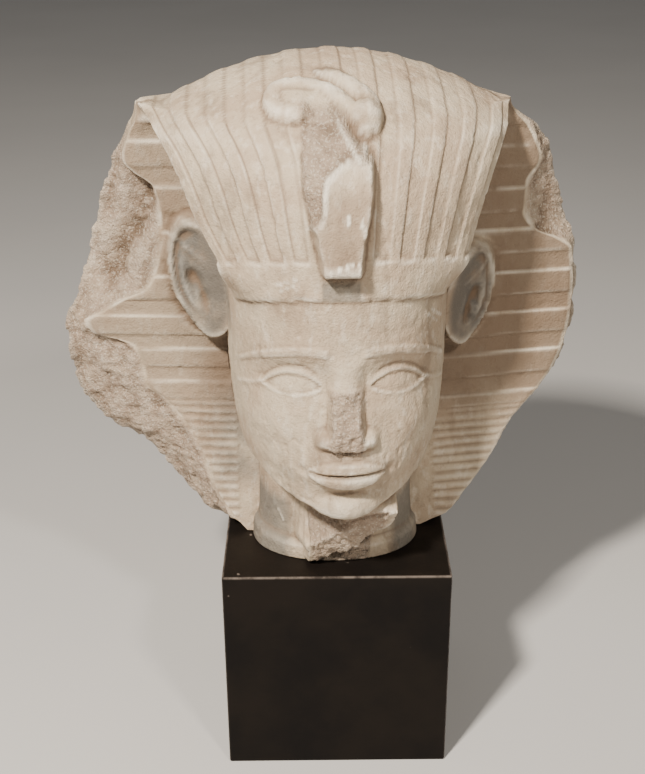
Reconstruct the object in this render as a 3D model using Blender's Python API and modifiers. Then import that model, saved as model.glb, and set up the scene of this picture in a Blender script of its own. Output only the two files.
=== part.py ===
"""Weathered head of a king in a striped royal headcloth, cast as one piece, on a separate black block.

The head is a loft of level sections from the neck's foot to the corners of the headcloth, closed by a crown of
rings that meet at a pole behind the top. Its carving is relief on that surface: pleats, bands, brow, eyes, broken
nose, mouth, ears, cobra and breaks. All of it is laid out in the head's own units, shares of its height.
"""

import math

import bpy
import numpy as np

# Driving sizes in metres
HEAD_HEIGHT = 0.2164
BLOCK_SIDE = 0.1016
BLOCK_HEIGHT = 0.103
BLOCK_EDGE = 0.0008
SEAT_GAP = 0.0003
HEAD_TURN = math.radians(3.0)
HEAD_SHIFT = 0.0005

# The head's own unit and its heights in that unit
TOP = 216.4
UNIT = HEAD_HEIGHT / TOP
CORNER = 195.0
RIGHT, LEFT = 1, -1

# Mesh density: level rows, crown rings, and columns of face, fold, wing, wing edge and back on each side
ROWS, RINGS = 176, 34
COLUMNS = {RIGHT: (84, 10, 32, 5, 22), LEFT: (84, 10, 26, 12, 22)}
FACE, FOLD, WING, EDGE, BACK = range(5)
HEAD_TRIANGLES = 9400

# Crown: half width and fullness on each side, reach to front and back, depth of its middle, its pole's place, and
# the width and depth of the headcloth's corners beyond it, and the heights over which wings and back close to it
CROWN_HALF = {RIGHT: 69.0, LEFT: 72.0}
CROWN_FULLNESS = {RIGHT: 1.8, LEFT: 2.03}
CROWN_FRONT, CROWN_BACK, CROWN_MIDDLE, CROWN_BEND = 52.0, 48.0, 12.0, 0.0008
POLE_SHARE = 0.6
CORNER_OUT, CORNER_BACK, CORNER_SOFT, CROWN_SOFT = 2.0, 7.0, 3.5, 0.25
CLOSING, CLOSING_BACK = 12.0, 36.0

# Outlines as (height, half width) or (height, depth) pairs
WING_RIM = {
    RIGHT: [(0, 41), (2, 47), (4, 53.5), (11.5, 61.5), (21, 70), (30, 76.8), (44, 85), (50, 90), (60, 98.8),
            (68, 104.3), (78, 108.5), (94, 111.5), (104, 111.7), (115, 111), (128, 109), (140, 105.2), (152, 101),
            (163, 97.4), (175, 93.4), (183, 88.2), (190, 81.3), (196, 75)],
    LEFT: [(0, 43), (2.5, 46), (4, 51), (6.5, 60), (11.6, 66.3), (20.7, 75.6), (29.6, 82.8), (38.5, 93), (43.3, 103.5),
           (52, 112), (63.3, 118.7), (76, 120.7), (92, 121.3), (110, 114.3), (131, 107.6), (147, 102.9), (166, 96),
           (180, 89.6), (190, 86), (196, 84)],
}
WING_SOUND = {
    RIGHT: [(0, 39), (2, 45), (4, 51.5), (11.5, 59.5), (21, 68), (30, 74.8), (44, 83), (50, 88), (60, 96.8), (68, 102.3),
            (78, 106.5), (94, 109.5), (104, 109.7), (126, 108), (131, 101), (136, 90), (145, 84.5), (158, 85), (168, 90),
            (177, 87), (189, 79), (196, 74)],
    LEFT: [(0, 42), (4, 46), (18, 56.5), (31, 61), (45, 67), (60, 78.4), (66, 86), (78, 88), (86, 92), (91, 109),
           (97, 112), (101, 105), (107, 95), (113, 83), (125, 78), (136, 76), (150, 75.5), (160, 78), (166, 86),
           (172, 90), (184, 86), (190, 84.5), (196, 83)],
}
EDGE_DEPTH = {RIGHT: [(0, 4), (30, 6), (125, 5), (145, 11), (160, 8), (190, 6)],
              LEFT: [(0, 7), (20, 15), (60, 15), (92, 8), (100, 9), (125, 16), (160, 13), (190, 7)]}
WING_DEPTH = [(0, -9), (15, -3), (35, 3), (60, 8), (90, 11), (200, 11)]
WING_SWEEP = 0.11
BACK_DEPTH = [(0, 45), (20, 55), (50, 70), (80, 80), (110, 84), (140, 82), (170, 74), (195, 60)]
BACK_POWER = 1.36
FOLD_HALF = {
    RIGHT: [(118, 47.5), (130, 48), (139, 50.2), (143, 52), (151, 54.7), (161, 57.8), (170, 60.9), (178, 64.4),
            (185, 68), (190, 71), (196, 74)],
    LEFT: [(118, 47.5), (130, 48), (139, 48.6), (143, 49.8), (150, 54), (156, 57.2), (162, 59.8), (169, 62.3),
           (175, 65), (181, 68.2), (186, 71.8), (190, 75.8), (193, 79.5), (196, 82.5)],
}
FACE_DEPTH = [(26, -49), (34, -59), (42, -63.5), (50, -63), (59, -65), (72, -64.5), (85, -62.5), (98, -60.5),
              (111, -62), (134, -61.8), (150, -61)]
FACE_HALF = [(28, 35), (40, 40.5), (52, 44), (70, 46.8), (90, 48), (140, 48.3)]
FACE_FULLNESS = [(28, 1.8), (50, 2.1), (70, 2.25), (90, 2.35), (125, 2.4)]
NECK_HALF = {RIGHT: [(0, 37), (5, 36.5), (8, 34.5), (40, 34), (70, 38)],
             LEFT: [(0, 39.5), (7, 38.8), (10, 36.5), (40, 35.5), (70, 38)]}
NECK_DEPTH = [(0, -37.5), (6, -37), (9, -33.5), (40, -33), (70, -38)]
DOME_REACH = [(21.4, 52), (26.4, 57.3), (36.4, 64.5), (51.4, 70.5), (67.4, 73), (86.4, 74)]
DOME_BEND = [(130, 0.0100), (139, 0.0098), (150, 0.0093), (170, 0.0058), (183, 0.0028), (190, 0.0011),
             (195, CROWN_BEND), (200, CROWN_BEND)]

# Headcloth carving
BAND_TOP, BAND_LOW, BAND_STEP = 149.6, 133.6, 1.3
PLEAT_PITCH, PLEAT_SHARE, PLEAT_STEP = 0.187, 0.44, 0.8
STRIPE_COUNT = {RIGHT: [(40, 7.0), (60, 5.95), (176, 0), (196, -1.02)],
                LEFT: [(40, 7.7), (60, 6.55), (101, 4.0), (180.5, 0), (200, -1)]}
STRIPE_SHARE, STRIPE_STEP = 0.58, 1.1
RIB_TOP, RIB_PITCH, RIB_STEP = {RIGHT: 53.0, LEFT: 60.0}, 3.9, 0.85
TAIL_HALF, TAIL_TOP, TAIL_RISE = 13.0, 96.0, 5.0
SCOOP = [(108, -104), (115, -102), (128, -95.6), (143, -86.4), (151, -83.8), (160, -81.4), (168, -84)]

# Tilt of the face and brow band, looking up, about the front of the face
FACE_TILT, FACE_FRONT = 0.30, -62.0

# Ear: middle, half width and half height on each side, and lean
EAR_AT = {RIGHT: (60.5, 109.5), LEFT: (59.5, 120.5)}
EAR_SIZE = {RIGHT: (11.5, 25.0), LEFT: (13.8, 29.5)}
EAR_LEAN = math.radians(10.0)

# Broken root of the beard: its two edges and its depth by height, and where its grooved side meets the neck
ROOT_LEFT = [(0, -16), (12.5, -16), (15, -12), (19.5, -4), (23.5, 2.3), (26.5, 7.6), (30.5, 14), (33, 19)]
ROOT_RIGHT = [(0, -12), (3.5, -8.5), (6.5, -3), (9.5, 5), (11, 7.5), (13.5, 8), (21, 14.5), (23, 17.5),
              (28, 21.5), (33, 23)]
ROOT_DEPTH = [(0, -40), (10, -44), (22, -50), (34, -57), (42, -62)]
ROOT_SIDE = -20.5

# Cobra: hood outline, its broken corner, the two turns of its body as (x, height) on the dome, and their knot
HOOD_LEFT = [(142, -9), (147, -9.7), (154, -11.3), (163, -13.4), (170, -15), (175, -16.2), (185, -16.2),
             (193, -14.5), (200, -13)]
HOOD_RIGHT = [(142, 5.3), (146, 5.8), (158, 7.4), (166, 9.1), (174, 10.3), (185, 10.9), (187.5, 9),
              (192, 4.8), (197, 2.2), (203, -1)]
HOOD_FOOT, HOOD_HEAD, HOOD_PROUD, HOOD_SLOPE = 144.3, 203.0, 8.0, 2.6
HOOD_CHIP = [(160, -16), (163, -12.5), (165.5, -9.7), (169, -8.5), (175, -8), (180, -7.1), (183, -4),
             (185.5, -0.9), (186.7, 3), (188.5, 8), (192, 5.8), (197, 3.2), (203, 0)]
COIL_LEFT = [(-18, 198.6), (-23, 199.4), (-26, 201.6), (-25.6, 204.3), (-21.5, 206.4), (-15.5, 207), (-10.5, 206.7),
             (-5.7, 205.4), (-1.3, 203.5), (2.7, 200.8), (5.8, 197.8), (8.7, 195.6)]
COIL_RIGHT = [(-6, 212), (-0.4, 209.7), (3.9, 207.3), (7.9, 204.7), (11, 201.7), (12, 198.7), (10.7, 195.8),
              (8.6, 195)]
COIL_RADIUS, COIL_RISE, COIL_FILL, COIL_FADE = 4.3, 4.2, 3.2, 213.5
KNOT_AT, KNOT_RADIUS, KNOT_RISE = (8.8, 198.3), 7.2, 6.6

# Colours as linear RGB
STONE_COLOUR = (0.50, 0.42, 0.34)
BLOCK_COLOUR = (0.012, 0.009, 0.008)


def smooth(t):
    """Rise from 0 at t = 0 to 1 at t = 1 with level ends."""
    t = np.clip(t, 0.0, 1.0)
    return t * t * (3.0 - 2.0 * t)


def hill(d):
    """Round bump: 1 at d = 0, falling to 0 at d = 1."""
    return np.clip(1.0 - d * d, 0.0, 1.0) ** 2


def between(x, low, high, edge):
    """1 between low and high and 0 outside, with soft edges of the given width."""
    return smooth((x - low) / edge + 0.5) * smooth((high - x) / edge + 0.5)


def curve(at, points):
    """Smooth curve through (position, value) pairs that never overshoots, held level beyond its ends."""
    place, value = np.array(points, float).T
    step = np.diff(place)
    slope = np.diff(value) / step
    tangent = np.concatenate([slope[:1], np.zeros(len(slope) - 1), slope[-1:]])
    before, after = slope[:-1], slope[1:]
    same = before * after > 0
    w1, w2 = 2 * step[1:] + step[:-1], step[1:] + 2 * step[:-1]
    tangent[1:-1][same] = (w1 + w2)[same] / (w1[same] / before[same] + w2[same] / after[same])
    at = np.asarray(at, float)
    i = np.clip(np.searchsorted(place, at, side="right") - 1, 0, len(step) - 1)
    t = np.clip((at - place[i]) / step[i], 0.0, 1.0)
    start = (2 * t**3 - 3 * t**2 + 1) * value[i] + (t**3 - 2 * t**2 + t) * step[i] * tangent[i]
    return start + (3 * t**2 - 2 * t**3) * value[i + 1] + (t**3 - t**2) * step[i] * tangent[i + 1]


def noise(points, cell, seed):
    """Smooth noise from -1 to 1: hashed values at the corners of a lattice, blended between them."""
    place = points / cell + 1000.0 + 17.3 * seed
    corner = np.floor(place).astype(np.int64)
    share = smooth(place - corner)
    total = np.zeros(points.shape[:-1])
    for step in np.ndindex(2, 2, 2):
        i, j, k = np.moveaxis(corner + step, -1, 0)
        value = (i * 73856093 ^ j * 19349663 ^ k * 83492791 ^ (seed * 2654435761)) & 0xFFFFFFFF
        value = (value ^ (value >> 13)) * 1274126177 & 0xFFFFFFFF
        value = (value ^ (value >> 16)) & 0xFFFF
        weight = np.prod(np.where(np.array(step) > 0, share, 1.0 - share), axis=-1)
        total += weight * (value / 32767.5 - 1.0)
    return total


def broken_stone(points, size, seed):
    """Relief of a broken face: coarse, middling and fine noise."""
    coarse, middling, fine = (noise(points, cell, seed + n) for n, cell in enumerate((11.0, 4.5, 1.9)))
    return size * (0.6 * coarse + 0.35 * middling + 0.22 * fine)


def by_side(x, value):
    """A value given for each side, at points whose distance from the middle is positive on the right."""
    return np.where(x > 0, value[RIGHT], value[LEFT])


def side_curve(x, at, points):
    """A curve given for each side."""
    return np.where(x > 0, curve(at, points[RIGHT]), curve(at, points[LEFT]))


def crown_drop(x):
    """Share of the crown's rise lost towards its sides."""
    return (np.abs(x) / by_side(x, CROWN_HALF)) ** by_side(x, CROWN_FULLNESS)


def levelled(height, soft):
    """Height that flattens out smoothly just above zero, as the crown does towards the headcloth's corners."""
    return np.where(height > soft, height, soft * np.exp(np.minimum(height / soft - 1, 0)))


def dome_depth(x, z):
    """Depth of the headcloth's front over (x, z): a drop across and a drop in depth add up to the height lost."""
    rise = TOP - CORNER
    lost = levelled(TOP - z - rise * crown_drop(x), CORNER_SOFT)
    reach = np.where(lost < rise, CROWN_FRONT * np.sqrt(lost / rise), curve(lost, DOME_REACH))
    return CROWN_MIDDLE - reach + curve(z, DOME_BEND) * x * x


def crown_height(x, y):
    """Height of the crown above the headcloth's corners, negative beyond its edge."""
    bend = CROWN_BEND * x * x
    behind = y - CROWN_MIDDLE - bend
    drop = crown_drop(x) + (behind / np.where(behind < 0, CROWN_FRONT, CROWN_BACK - bend)) ** 2
    return (TOP - CORNER) * (1 - drop)


def oval(across, reach, angle, exponent, middle):
    """Quarter of a rounded section, from straight ahead (angle 0) to the side."""
    return np.stack([across * np.sin(angle) ** exponent, middle - reach * np.cos(angle) ** exponent], -1)


def face_and_fold(z, side, counts, depth):
    """Front of the section to where the wing starts: neck below, face above it, and the dome with its fold on top.

    Returns the points of the face and fold columns, and the half width where the wing starts.
    """
    t_face = np.linspace(0, 1, counts[FACE], endpoint=False)[None]
    t_fold = np.linspace(0, 1, counts[FOLD], endpoint=False)[None]
    angle = np.radians(np.concatenate([60 * t_face, 60 + 30 * t_fold], 1))
    half, neck_half = curve(z, FACE_HALF), curve(z, NECK_HALF[side])
    face = oval(half, depth - curve(z, FACE_DEPTH), angle, 2 / curve(z, FACE_FULLNESS), depth)
    neck = oval(neck_half, depth - curve(z, NECK_DEPTH), angle, 0.92, depth)
    jaw = smooth((z - 33 - 15 * np.sin(angle) ** 2) / 14 + 0.5)[..., None]
    low = neck + (face - neck) * jaw
    fold = curve(z, FOLD_HALF[side])
    across = fold * np.sin(np.radians(60) * t_face) / np.sin(np.radians(60))
    front = np.stack([across, dome_depth(across * side, z)], -1)
    dome = smooth((z - 124) / 16)
    start = neck_half + (half - neck_half) * smooth((z - 48) / 14 + 0.5)
    start = start + (fold - 5 - start) * dome
    fold_depth = dome_depth(fold * side, z)
    turn = np.stack([fold + (start - fold) * t_fold - 2 * np.sin(np.pi * t_fold),
                     fold_depth + (depth - fold_depth) * t_fold], -1)
    return low + (np.concatenate([front, turn], 1) - low) * dome[..., None], start


def back_curve(across, start, end, angle):
    """Back of a section, from the wing's rim at the side (angle 0) to its middle."""
    across = across * np.cos(angle).clip(0) ** BACK_POWER
    return np.stack([across, start + (end - start) * np.sin(angle) ** BACK_POWER], -1)


def half_section(z, side, counts):
    """Level sections of one side from the middle of the face round to the middle of the back."""
    z = z[:, None]
    depth = curve(z, WING_DEPTH)
    front, start = face_and_fold(z, side, counts, depth)
    t_wing = np.linspace(0, 1, counts[WING], endpoint=False)[None] ** 1.4
    t_edge = np.linspace(0, 1, counts[EDGE], endpoint=False)[None]
    t_back = np.linspace(0, 1, counts[BACK])[None]
    sound = np.maximum(curve(z, WING_SOUND[side]), start + 0.8)
    sound_depth = depth + WING_SWEEP * (sound - start)
    wing = np.stack([start + (sound - start) * t_wing, depth + (sound_depth - depth) * t_wing], -1)
    rim = np.maximum(curve(z, WING_RIM[side]), sound + 1.0)
    rim_depth = sound_depth + curve(z, EDGE_DEPTH[side])
    edge = np.stack([sound + (rim - sound) * t_edge, sound_depth + (rim_depth - sound_depth) * t_edge**1.4], -1)
    angle = t_back * np.pi / 2
    section = np.concatenate([front, wing, edge, back_curve(rim, rim_depth, curve(z, BACK_DEPTH), angle)], 1)
    fold = curve(z, FOLD_HALF[side])
    inner = np.stack([fold, dome_depth(fold * side, z)], -1)
    outer = np.broadcast_to(inner[-1], inner.shape) + (CORNER_OUT, CORNER_BACK)
    t_turn = np.linspace(0, 1, counts[FOLD] + counts[WING] + counts[EDGE], endpoint=False)[None, :, None]
    behind = back_curve(outer[..., 0], outer[..., 1], CROWN_MIDDLE + CROWN_BACK, angle)
    closed = np.concatenate([front[:, :counts[FACE]], inner + (outer - inner) * t_turn, behind], 1)
    over = np.full(sum(counts), CLOSING)
    over[-counts[BACK]:] += (CLOSING_BACK - CLOSING) * smooth(2 * t_back[0])
    plan = section + (closed - section) * smooth((z - CORNER) / over + 1)[..., None]
    return np.concatenate([plan * (side, 1), np.broadcast_to(z[..., None], plan.shape[:2] + (1,))], -1)


def crown_rings(edge, count):
    """Rings over the top: straight in plan from the edge ring to the pole, on a dome that levels out at its corners."""
    share = 1 - 0.985 * np.linspace(0, 1, count + 1)[1:] ** 1.25
    pole = np.array([0.0, CROWN_MIDDLE + CROWN_BACK * POLE_SHARE])
    plan = pole + (edge[None, :, :2] - pole) * share[:, None, None]
    spare = np.clip(crown_height(edge[:, 0], edge[:, 1]), 0, None) * share[:, None] ** 8
    height = levelled(crown_height(plan[..., 0], plan[..., 1]) - spare, CROWN_SOFT)
    return np.concatenate([plan, CORNER + height[..., None]], -1)


def row_heights():
    """Heights of the level rows, closer together on the face and closest at the foot."""
    fine = np.linspace(0.0, CORNER, 4000)
    density = 1.0 + 0.4 * smooth((122 - fine) / 10) + 1.5 * (fine < 3)
    total = np.concatenate([[0], np.cumsum((density[1:] + density[:-1]) / 2)])
    return np.interp(np.linspace(0, total[-1], ROWS), total, fine)


def base_grid():
    """The uncarved head: points by row and column, the zone of each column, and each point's share of the fold."""
    z = row_heights()
    right, left = (half_section(z, side, COLUMNS[side]) for side in (RIGHT, LEFT))
    zones = [np.repeat(np.arange(5), COLUMNS[side]) for side in (RIGHT, LEFT)]
    low = np.concatenate([right, left[:, -2:0:-1]], 1)
    zone = np.concatenate([zones[0], zones[1][-2:0:-1]])
    points = np.concatenate([low, crown_rings(low[-1], RINGS)])
    return points, zone, points[..., 0] / side_curve(points[..., 0], points[..., 2], FOLD_HALF)


def grid_normals(points):
    """Outward directions of the grid, from its neighbours around the row and up the column."""
    around = np.roll(points, -1, 1) - np.roll(points, 1, 1)
    out = np.cross(around, np.gradient(points, axis=0))
    return out / np.maximum(np.linalg.norm(out, axis=-1, keepdims=True), 1e-9)


def pleats(points, share):
    """Raised pleats of the dome, evenly spaced across it and worn lower on top."""
    place = share + 0.006 * noise(points * (1, 0.3, 0.3), 16.0, 3)
    place = np.mod(place / PLEAT_PITCH + PLEAT_SHARE, 1.0)
    above = smooth((points[..., 2] - CORNER + 8) / 16)
    edge = 0.07 + 0.05 * above
    return PLEAT_STEP * (1 - 0.4 * above) * smooth(place / edge) * smooth((PLEAT_SHARE - place) / edge + 1)


def stripes(points):
    """Raised stripes of the wings, wide above and narrow ribs below."""
    height = points[..., 2] + 0.5 * noise(points * (0.35, 1, 0.2), 9.0, 5)
    relief = np.zeros(height.shape)
    for side in (RIGHT, LEFT):
        place = np.mod(curve(height, STRIPE_COUNT[side]), 1.0)
        wide = STRIPE_STEP * smooth(place / 0.066) * smooth((STRIPE_SHARE - place) / 0.066 + 1)
        ribs = RIB_STEP * (1 - np.abs(np.cos(np.pi * (height - RIB_TOP[side]) / RIB_PITCH)) ** 3)
        relief = np.where(points[..., 0] * side > 0, np.where(height > RIB_TOP[side], wide, ribs), relief)
    return relief


def back_relief(points):
    """Stripes of the back, drooping towards the middle, and the gathered tail below them."""
    x, z = np.abs(points[..., 0]), points[..., 2]
    drooped = points + np.stack([0 * x, 0 * x, 26 * smooth(1 - x / 95)], -1)
    relief = stripes(drooped) * smooth((x - TAIL_HALF) / 5) * smooth((180 - z) / 12)
    tail = np.sqrt(np.clip(1 - (x / (TAIL_HALF + 0.04 * z)) ** 2, 0, 1))
    return relief + TAIL_RISE * tail * smooth((TAIL_TOP - z) / 16)


def eyes(x, z):
    """Brow bands, sockets, lids and balls of the eyes, by distance from the middle and height on the face."""
    along = np.clip((x - 21.5) / 11.8, -1, 1)
    upper = 97.2 + 0.8 * along + 5.2 * (1 - np.abs(along) ** 2.1)
    lower = 97.2 + 0.8 * along - 3.2 * (1 - np.abs(along) ** 1.9)
    length = between(x, 9.8, 33.2, 1.8)
    ball = 3.4 * hill(np.hypot((x - 21.5) / 16, (z - 97.8) / 10.5))
    ball -= 3.0 * hill(np.hypot((x - 21) / 21, (z - 99.5) / 11.5))
    opening = smooth(z - lower + 0.5) * smooth(upper - z + 0.5) * length
    ball -= 0.9 * opening * (1 - hill(np.hypot((x - 21.5) / 13, (z - 98) / 7)))
    lids = 0.55 * hill((z - upper - 0.8) / 1.5) * between(x, 9.5, 36, 2.5)
    lids += 0.45 * hill((z - lower + 0.8) / 1.4) * length
    lids -= 0.6 * hill((z - upper - 3.4) / 1.5) * between(x, 12, 35, 5)
    tail = 0.7 * between(x, 32.5, 44, 2) * hill((z - 97.9 + 0.1 * np.clip(x - 33, 0, 12)) / 1.9)
    arch = 112.6 - curve(x, [(6, 1.6), (19, 0), (34, 2.0), (44, 6.0)])
    wide = 1.9 - 0.8 * smooth((x - 28) / 16)
    brow = 0.9 * between(x, 7.0, 43.0, 3) * between(z, arch - wide, arch + wide, 1.3)
    return ball + lids + tail + brow + 0.5 * hill(np.hypot((x - 21) / 24, (z - 112) / 9))


def nose(x, z, points):
    """Forward height of the nose, cut off along its ridge and tip by the break."""
    ridge = curve(z, [(66, 0), (69, 0.5), (71.2, 8), (74, 13.5), (77, 13.5), (84, 10.5), (92, 6.8), (104, 2.4),
                      (110, 0)])
    width = curve(z, [(68, 8.5), (73, 9.5), (78, 8.2), (90, 7.6), (104, 8.5)])
    whole = ridge * np.clip(1 - (x / width) ** 2, 0, 1) ** 1.2
    nostril = 5.0 * hill(np.hypot((x - 9.3) / 5.4, (z - 74.3) / 5.2))
    whole = np.maximum(whole, nostril) + 0.4 * np.minimum(whole, nostril)
    cut = curve(z, [(66, 9), (69, 3.6), (73, 4.6), (78, 6.2), (85, 5.6), (91, 4.4), (95, 5.5)])
    return np.minimum(whole, cut + broken_stone(points, 2.0, 31))


def mouth(x, z):
    """Lips, their parting and corners, the groove above them, and the chin."""
    line = 59.0 + 0.9 * (x / 15.8) ** 2
    taper = np.clip(1 - (x / 16.0) ** 2, 0, 1)
    above = (z - line) / (0.8 + 5.6 * taper**0.8 - np.exp(-((x / 2.6) ** 2)))
    below = (line - z) / (0.8 + 6.6 * taper**0.9)
    upper = smooth(above / 0.15 + 0.2) * smooth((1 - above) / 0.22) * (0.65 + 0.35 * np.clip(1 - above, 0, 1))
    lower = smooth(below / 0.15 + 0.2) * smooth((1 - below) / 0.45)
    lips = np.where(above > 0, 2.4 * taper**0.45 * upper, 2.5 * taper**0.5 * lower)
    lips -= 1.1 * hill((z - line) / 1.5) * smooth((15.8 - x) / 2)
    hollows = 1.0 * hill(np.hypot((x - 17.5) / 3.6, (z - 60) / 3.2)) + 0.8 * hill(np.hypot(x / 2.8, (z - 68.5) / 3.2))
    hollows += 1.6 * hill(np.hypot(x / 16, (z - 48.5) / 4.6))
    swell = 3.0 * hill(np.hypot(x / 27, (z - 60) / 19)) + 3.2 * hill(np.hypot(x / 17, (z - 41) / 8.5))
    return lips + swell - hollows


def cheeks(x, z):
    """Full cheeks and the soft furrow beside the nose."""
    return 1.6 * hill(np.hypot((x - 29) / 17, (z - 82) / 14)) - 0.9 * hill(np.hypot((x - 17) / 7, (z - 77) / 11))


def ear(side, far, z):
    """Forward reach of an ear: a leaning oval that slants out of the face's side, with rim, groove, folds and bowl."""
    (across, height), (half, tall) = EAR_AT[side], EAR_SIZE[side]
    dx, dz = far - across, z - height
    u = (dx * math.cos(EAR_LEAN) - dz * math.sin(EAR_LEAN)) / half
    v = (dx * math.sin(EAR_LEAN) + dz * math.cos(EAR_LEAN)) / tall
    u = np.where(u > 0, u * (1 + 0.3 * smooth((-v - 0.1) / 0.9)), 0.8 * u)
    r = np.hypot(u, v)
    body = smooth((1 - r) / 0.12)
    rim = hill((r - 0.86) / 0.13) * smooth((u + 0.5) / 0.4) * smooth((v + 0.7) / 0.4)
    groove = hill((r - 0.68) / 0.12) * smooth((u + 0.3) / 0.4) * smooth((v + 0.45) / 0.3)
    ridge = hill((r - 0.50) / 0.12) * smooth((u + 0.05) / 0.3) * between(v, -0.55, 0.3, 0.3)
    branch = hill((v - 0.405 - 0.51 * u) / 0.10) * between(u, -0.3, 0.45, 0.2)
    bowl = hill(np.hypot((u - 0.14) / 0.36, (v - 0.02) / 0.24))
    bowl += 0.8 * hill(np.hypot((u + 0.02) / 0.22, (v + 0.28) / 0.34))
    slant = 0.5 * np.clip(across + half - far, 0, None)
    return body * (3.5 + slant + 1.8 * rim - 1.6 * groove + 1.4 * ridge + 1.2 * branch - 4.0 * bowl)


def coil(points, path):
    """Relief of one turn of the cobra's body: a round rod laid on the dome along a path of (x, height) pairs."""
    path = np.array(path, float)
    length = np.concatenate([[0], np.cumsum(np.hypot(*np.diff(path, axis=0).T))])
    at = np.linspace(0, length[-1], 30)
    x, z = (curve(at, np.column_stack([length, path[:, n]])) for n in (0, 1))
    spine = np.stack([x, dome_depth(x, z), z], -1)
    nearest = np.full(points.shape[:-1], np.inf)
    for start, end in zip(spine[:-1], spine[1:]):
        step = end - start
        along = np.clip(((points - start) @ step) / (step @ step), 0, 1)
        nearest = np.minimum(nearest, np.linalg.norm(points - start - along[..., None] * step, axis=-1))
    return np.sqrt(np.clip(1 - (nearest / COIL_RADIUS) ** 2, 0, 1))


def cobra_hood(points):
    """How much of the hood covers a point, and its front's reach ahead of it: flat below, broken above and beside."""
    x, y, z = np.moveaxis(points, -1, 0)
    left, chip = curve(z, HOOD_LEFT), curve(z, HOOD_CHIP)
    inside = between(x, left, curve(z, HOOD_RIGHT), HOOD_SLOPE)
    inside = inside * smooth((z - HOOD_FOOT) / HOOD_SLOPE + 0.5) * smooth((HOOD_HEAD - z) / 5)
    beside = (chip - x) / np.maximum(chip - left, 1.5)
    lost = smooth(beside / 0.1) * (2.4 + broken_stone(points, 1.6, 41)) + (HOOD_PROUD - 3.0) * np.clip(beside, 0, 1)
    front = dome_depth(np.zeros_like(z), z) - HOOD_PROUD
    return inside, np.clip(y - front - lost, 0, None) * inside


def cobra_body(points):
    """The two turns of the body on the dome, the knot where they meet, and the worn stone that fills the left turn."""
    x, y, z = np.moveaxis(points, -1, 0)
    turns = np.maximum(coil(points, COIL_LEFT), coil(points, COIL_RIGHT) * smooth((COIL_FADE - z) / 6))
    across, height = KNOT_AT
    depth = dome_depth(np.array(across), np.array(height))
    apart = np.sqrt((x - across) ** 2 + (y - depth) ** 2 + (z - height) ** 2)
    knot = KNOT_RISE * np.sqrt(np.clip(1 - (apart / KNOT_RADIUS) ** 2, 0, 1))
    fill = COIL_FILL * between(x, -24, -4, 5) * between(z, 198, 206, 4)
    worn = broken_stone(points, 1.0, 45) * between(x, -27, 2, 4) * between(z, 190, 203, 4)
    return np.maximum(np.maximum(COIL_RISE * turns, fill), knot) + worn


def beard_root(points):
    """Forward reach of the broken beard's root under the chin: its broken face, and its grooved side by the neck."""
    x, y, z = np.moveaxis(points, -1, 0)
    left, right = curve(z, ROOT_LEFT), curve(z, ROOT_RIGHT)
    side = np.clip((x - ROOT_SIDE) / (left - ROOT_SIDE), 0, 1)
    inside = smooth((right - x) / 2 + 0.5) * smooth((41 - z) / 5)
    inside *= np.where(z < 9, smooth((x - left) / 2 + 0.5), side)
    front = curve(z, ROOT_DEPTH) + broken_stone(points, 1.1, 51) * smooth((x - left) / 2 + 0.5)
    return np.clip(y - front, 0, None) * inside


def carve(points, zone, share):
    """The carved head: relief along the surface's own direction, and forward reach of what stands out to the front."""
    x, y, z = np.moveaxis(points, -1, 0)
    far = np.abs(x)
    tilted = z + FACE_TILT * (y - FACE_FRONT)
    crown = np.arange(len(points))[:, None] >= ROWS
    body = ~crown * (1 - smooth((z - CORNER + 10) / 10))
    front = zone == FACE
    hood, hood_reach = cobra_hood(points)
    hood = hood * (front | crown) * (y < 0)
    on_dome = np.where(crown, smooth((45 - y) / 25), front * smooth(tilted - BAND_TOP + 0.5)) * (1 - hood)
    relief = pleats(points, share) * on_dome
    on_brow = ~crown * np.where(zone == FOLD, smooth((-22 - y) / 10), front)
    relief += BAND_STEP * between(tilted, BAND_LOW, BAND_TOP, 1.2) * on_brow
    listening = np.where(x > 0, ear(RIGHT, far, z), ear(LEFT, far, z)) * body
    relief += stripes(points) * (zone == WING) * body * smooth((far - 44) / 3) * smooth(1 - listening / 2)
    relief += back_relief(points) * (zone == BACK) * body
    skin = (front | (zone == FOLD)) * ~crown * smooth((BAND_LOW - tilted) / 2 + 0.5) * smooth((z - 28) / 8)
    relief += (eyes(far, tilted) + mouth(far, tilted) + cheeks(far, tilted)) * skin
    relief += cobra_body(points) * (front | crown) * (y < 0) * (1 - hood)
    sound = side_curve(x, z, WING_SOUND)
    rough = broken_stone(points, 2.4, 61) - 1.2
    rough -= 5.5 * hill((x - curve(z, SCOOP)) / 11) * between(z, 112, 167, 14)
    relief += (zone == EDGE) * body * np.clip((far - sound) / 4, 0, 1) * rough
    reach = nose(far, tilted, points) * skin
    in_fold = np.clip(y - curve(z, WING_DEPTH) + listening, 0, None) * body
    reach += np.where(zone == FOLD, in_fold, (zone == WING) * listening)
    reach += hood_reach * hood + beard_root(points) * front
    moved = grid_normals(points) * relief[..., None]
    moved[..., 1] -= reach
    carved = points + moved * smooth(z / 2.5)[..., None]
    carved[0, :, 2] = 0.0
    return carved


def make_material(name, colour, roughness):
    """Plain Principled material of one colour."""
    material = bpy.data.materials.new(name)
    material.use_nodes = True
    shader = material.node_tree.nodes["Principled BSDF"]
    shader.inputs["Base Color"].default_value = (*colour, 1.0)
    shader.inputs["Roughness"].default_value = roughness
    return material


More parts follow.
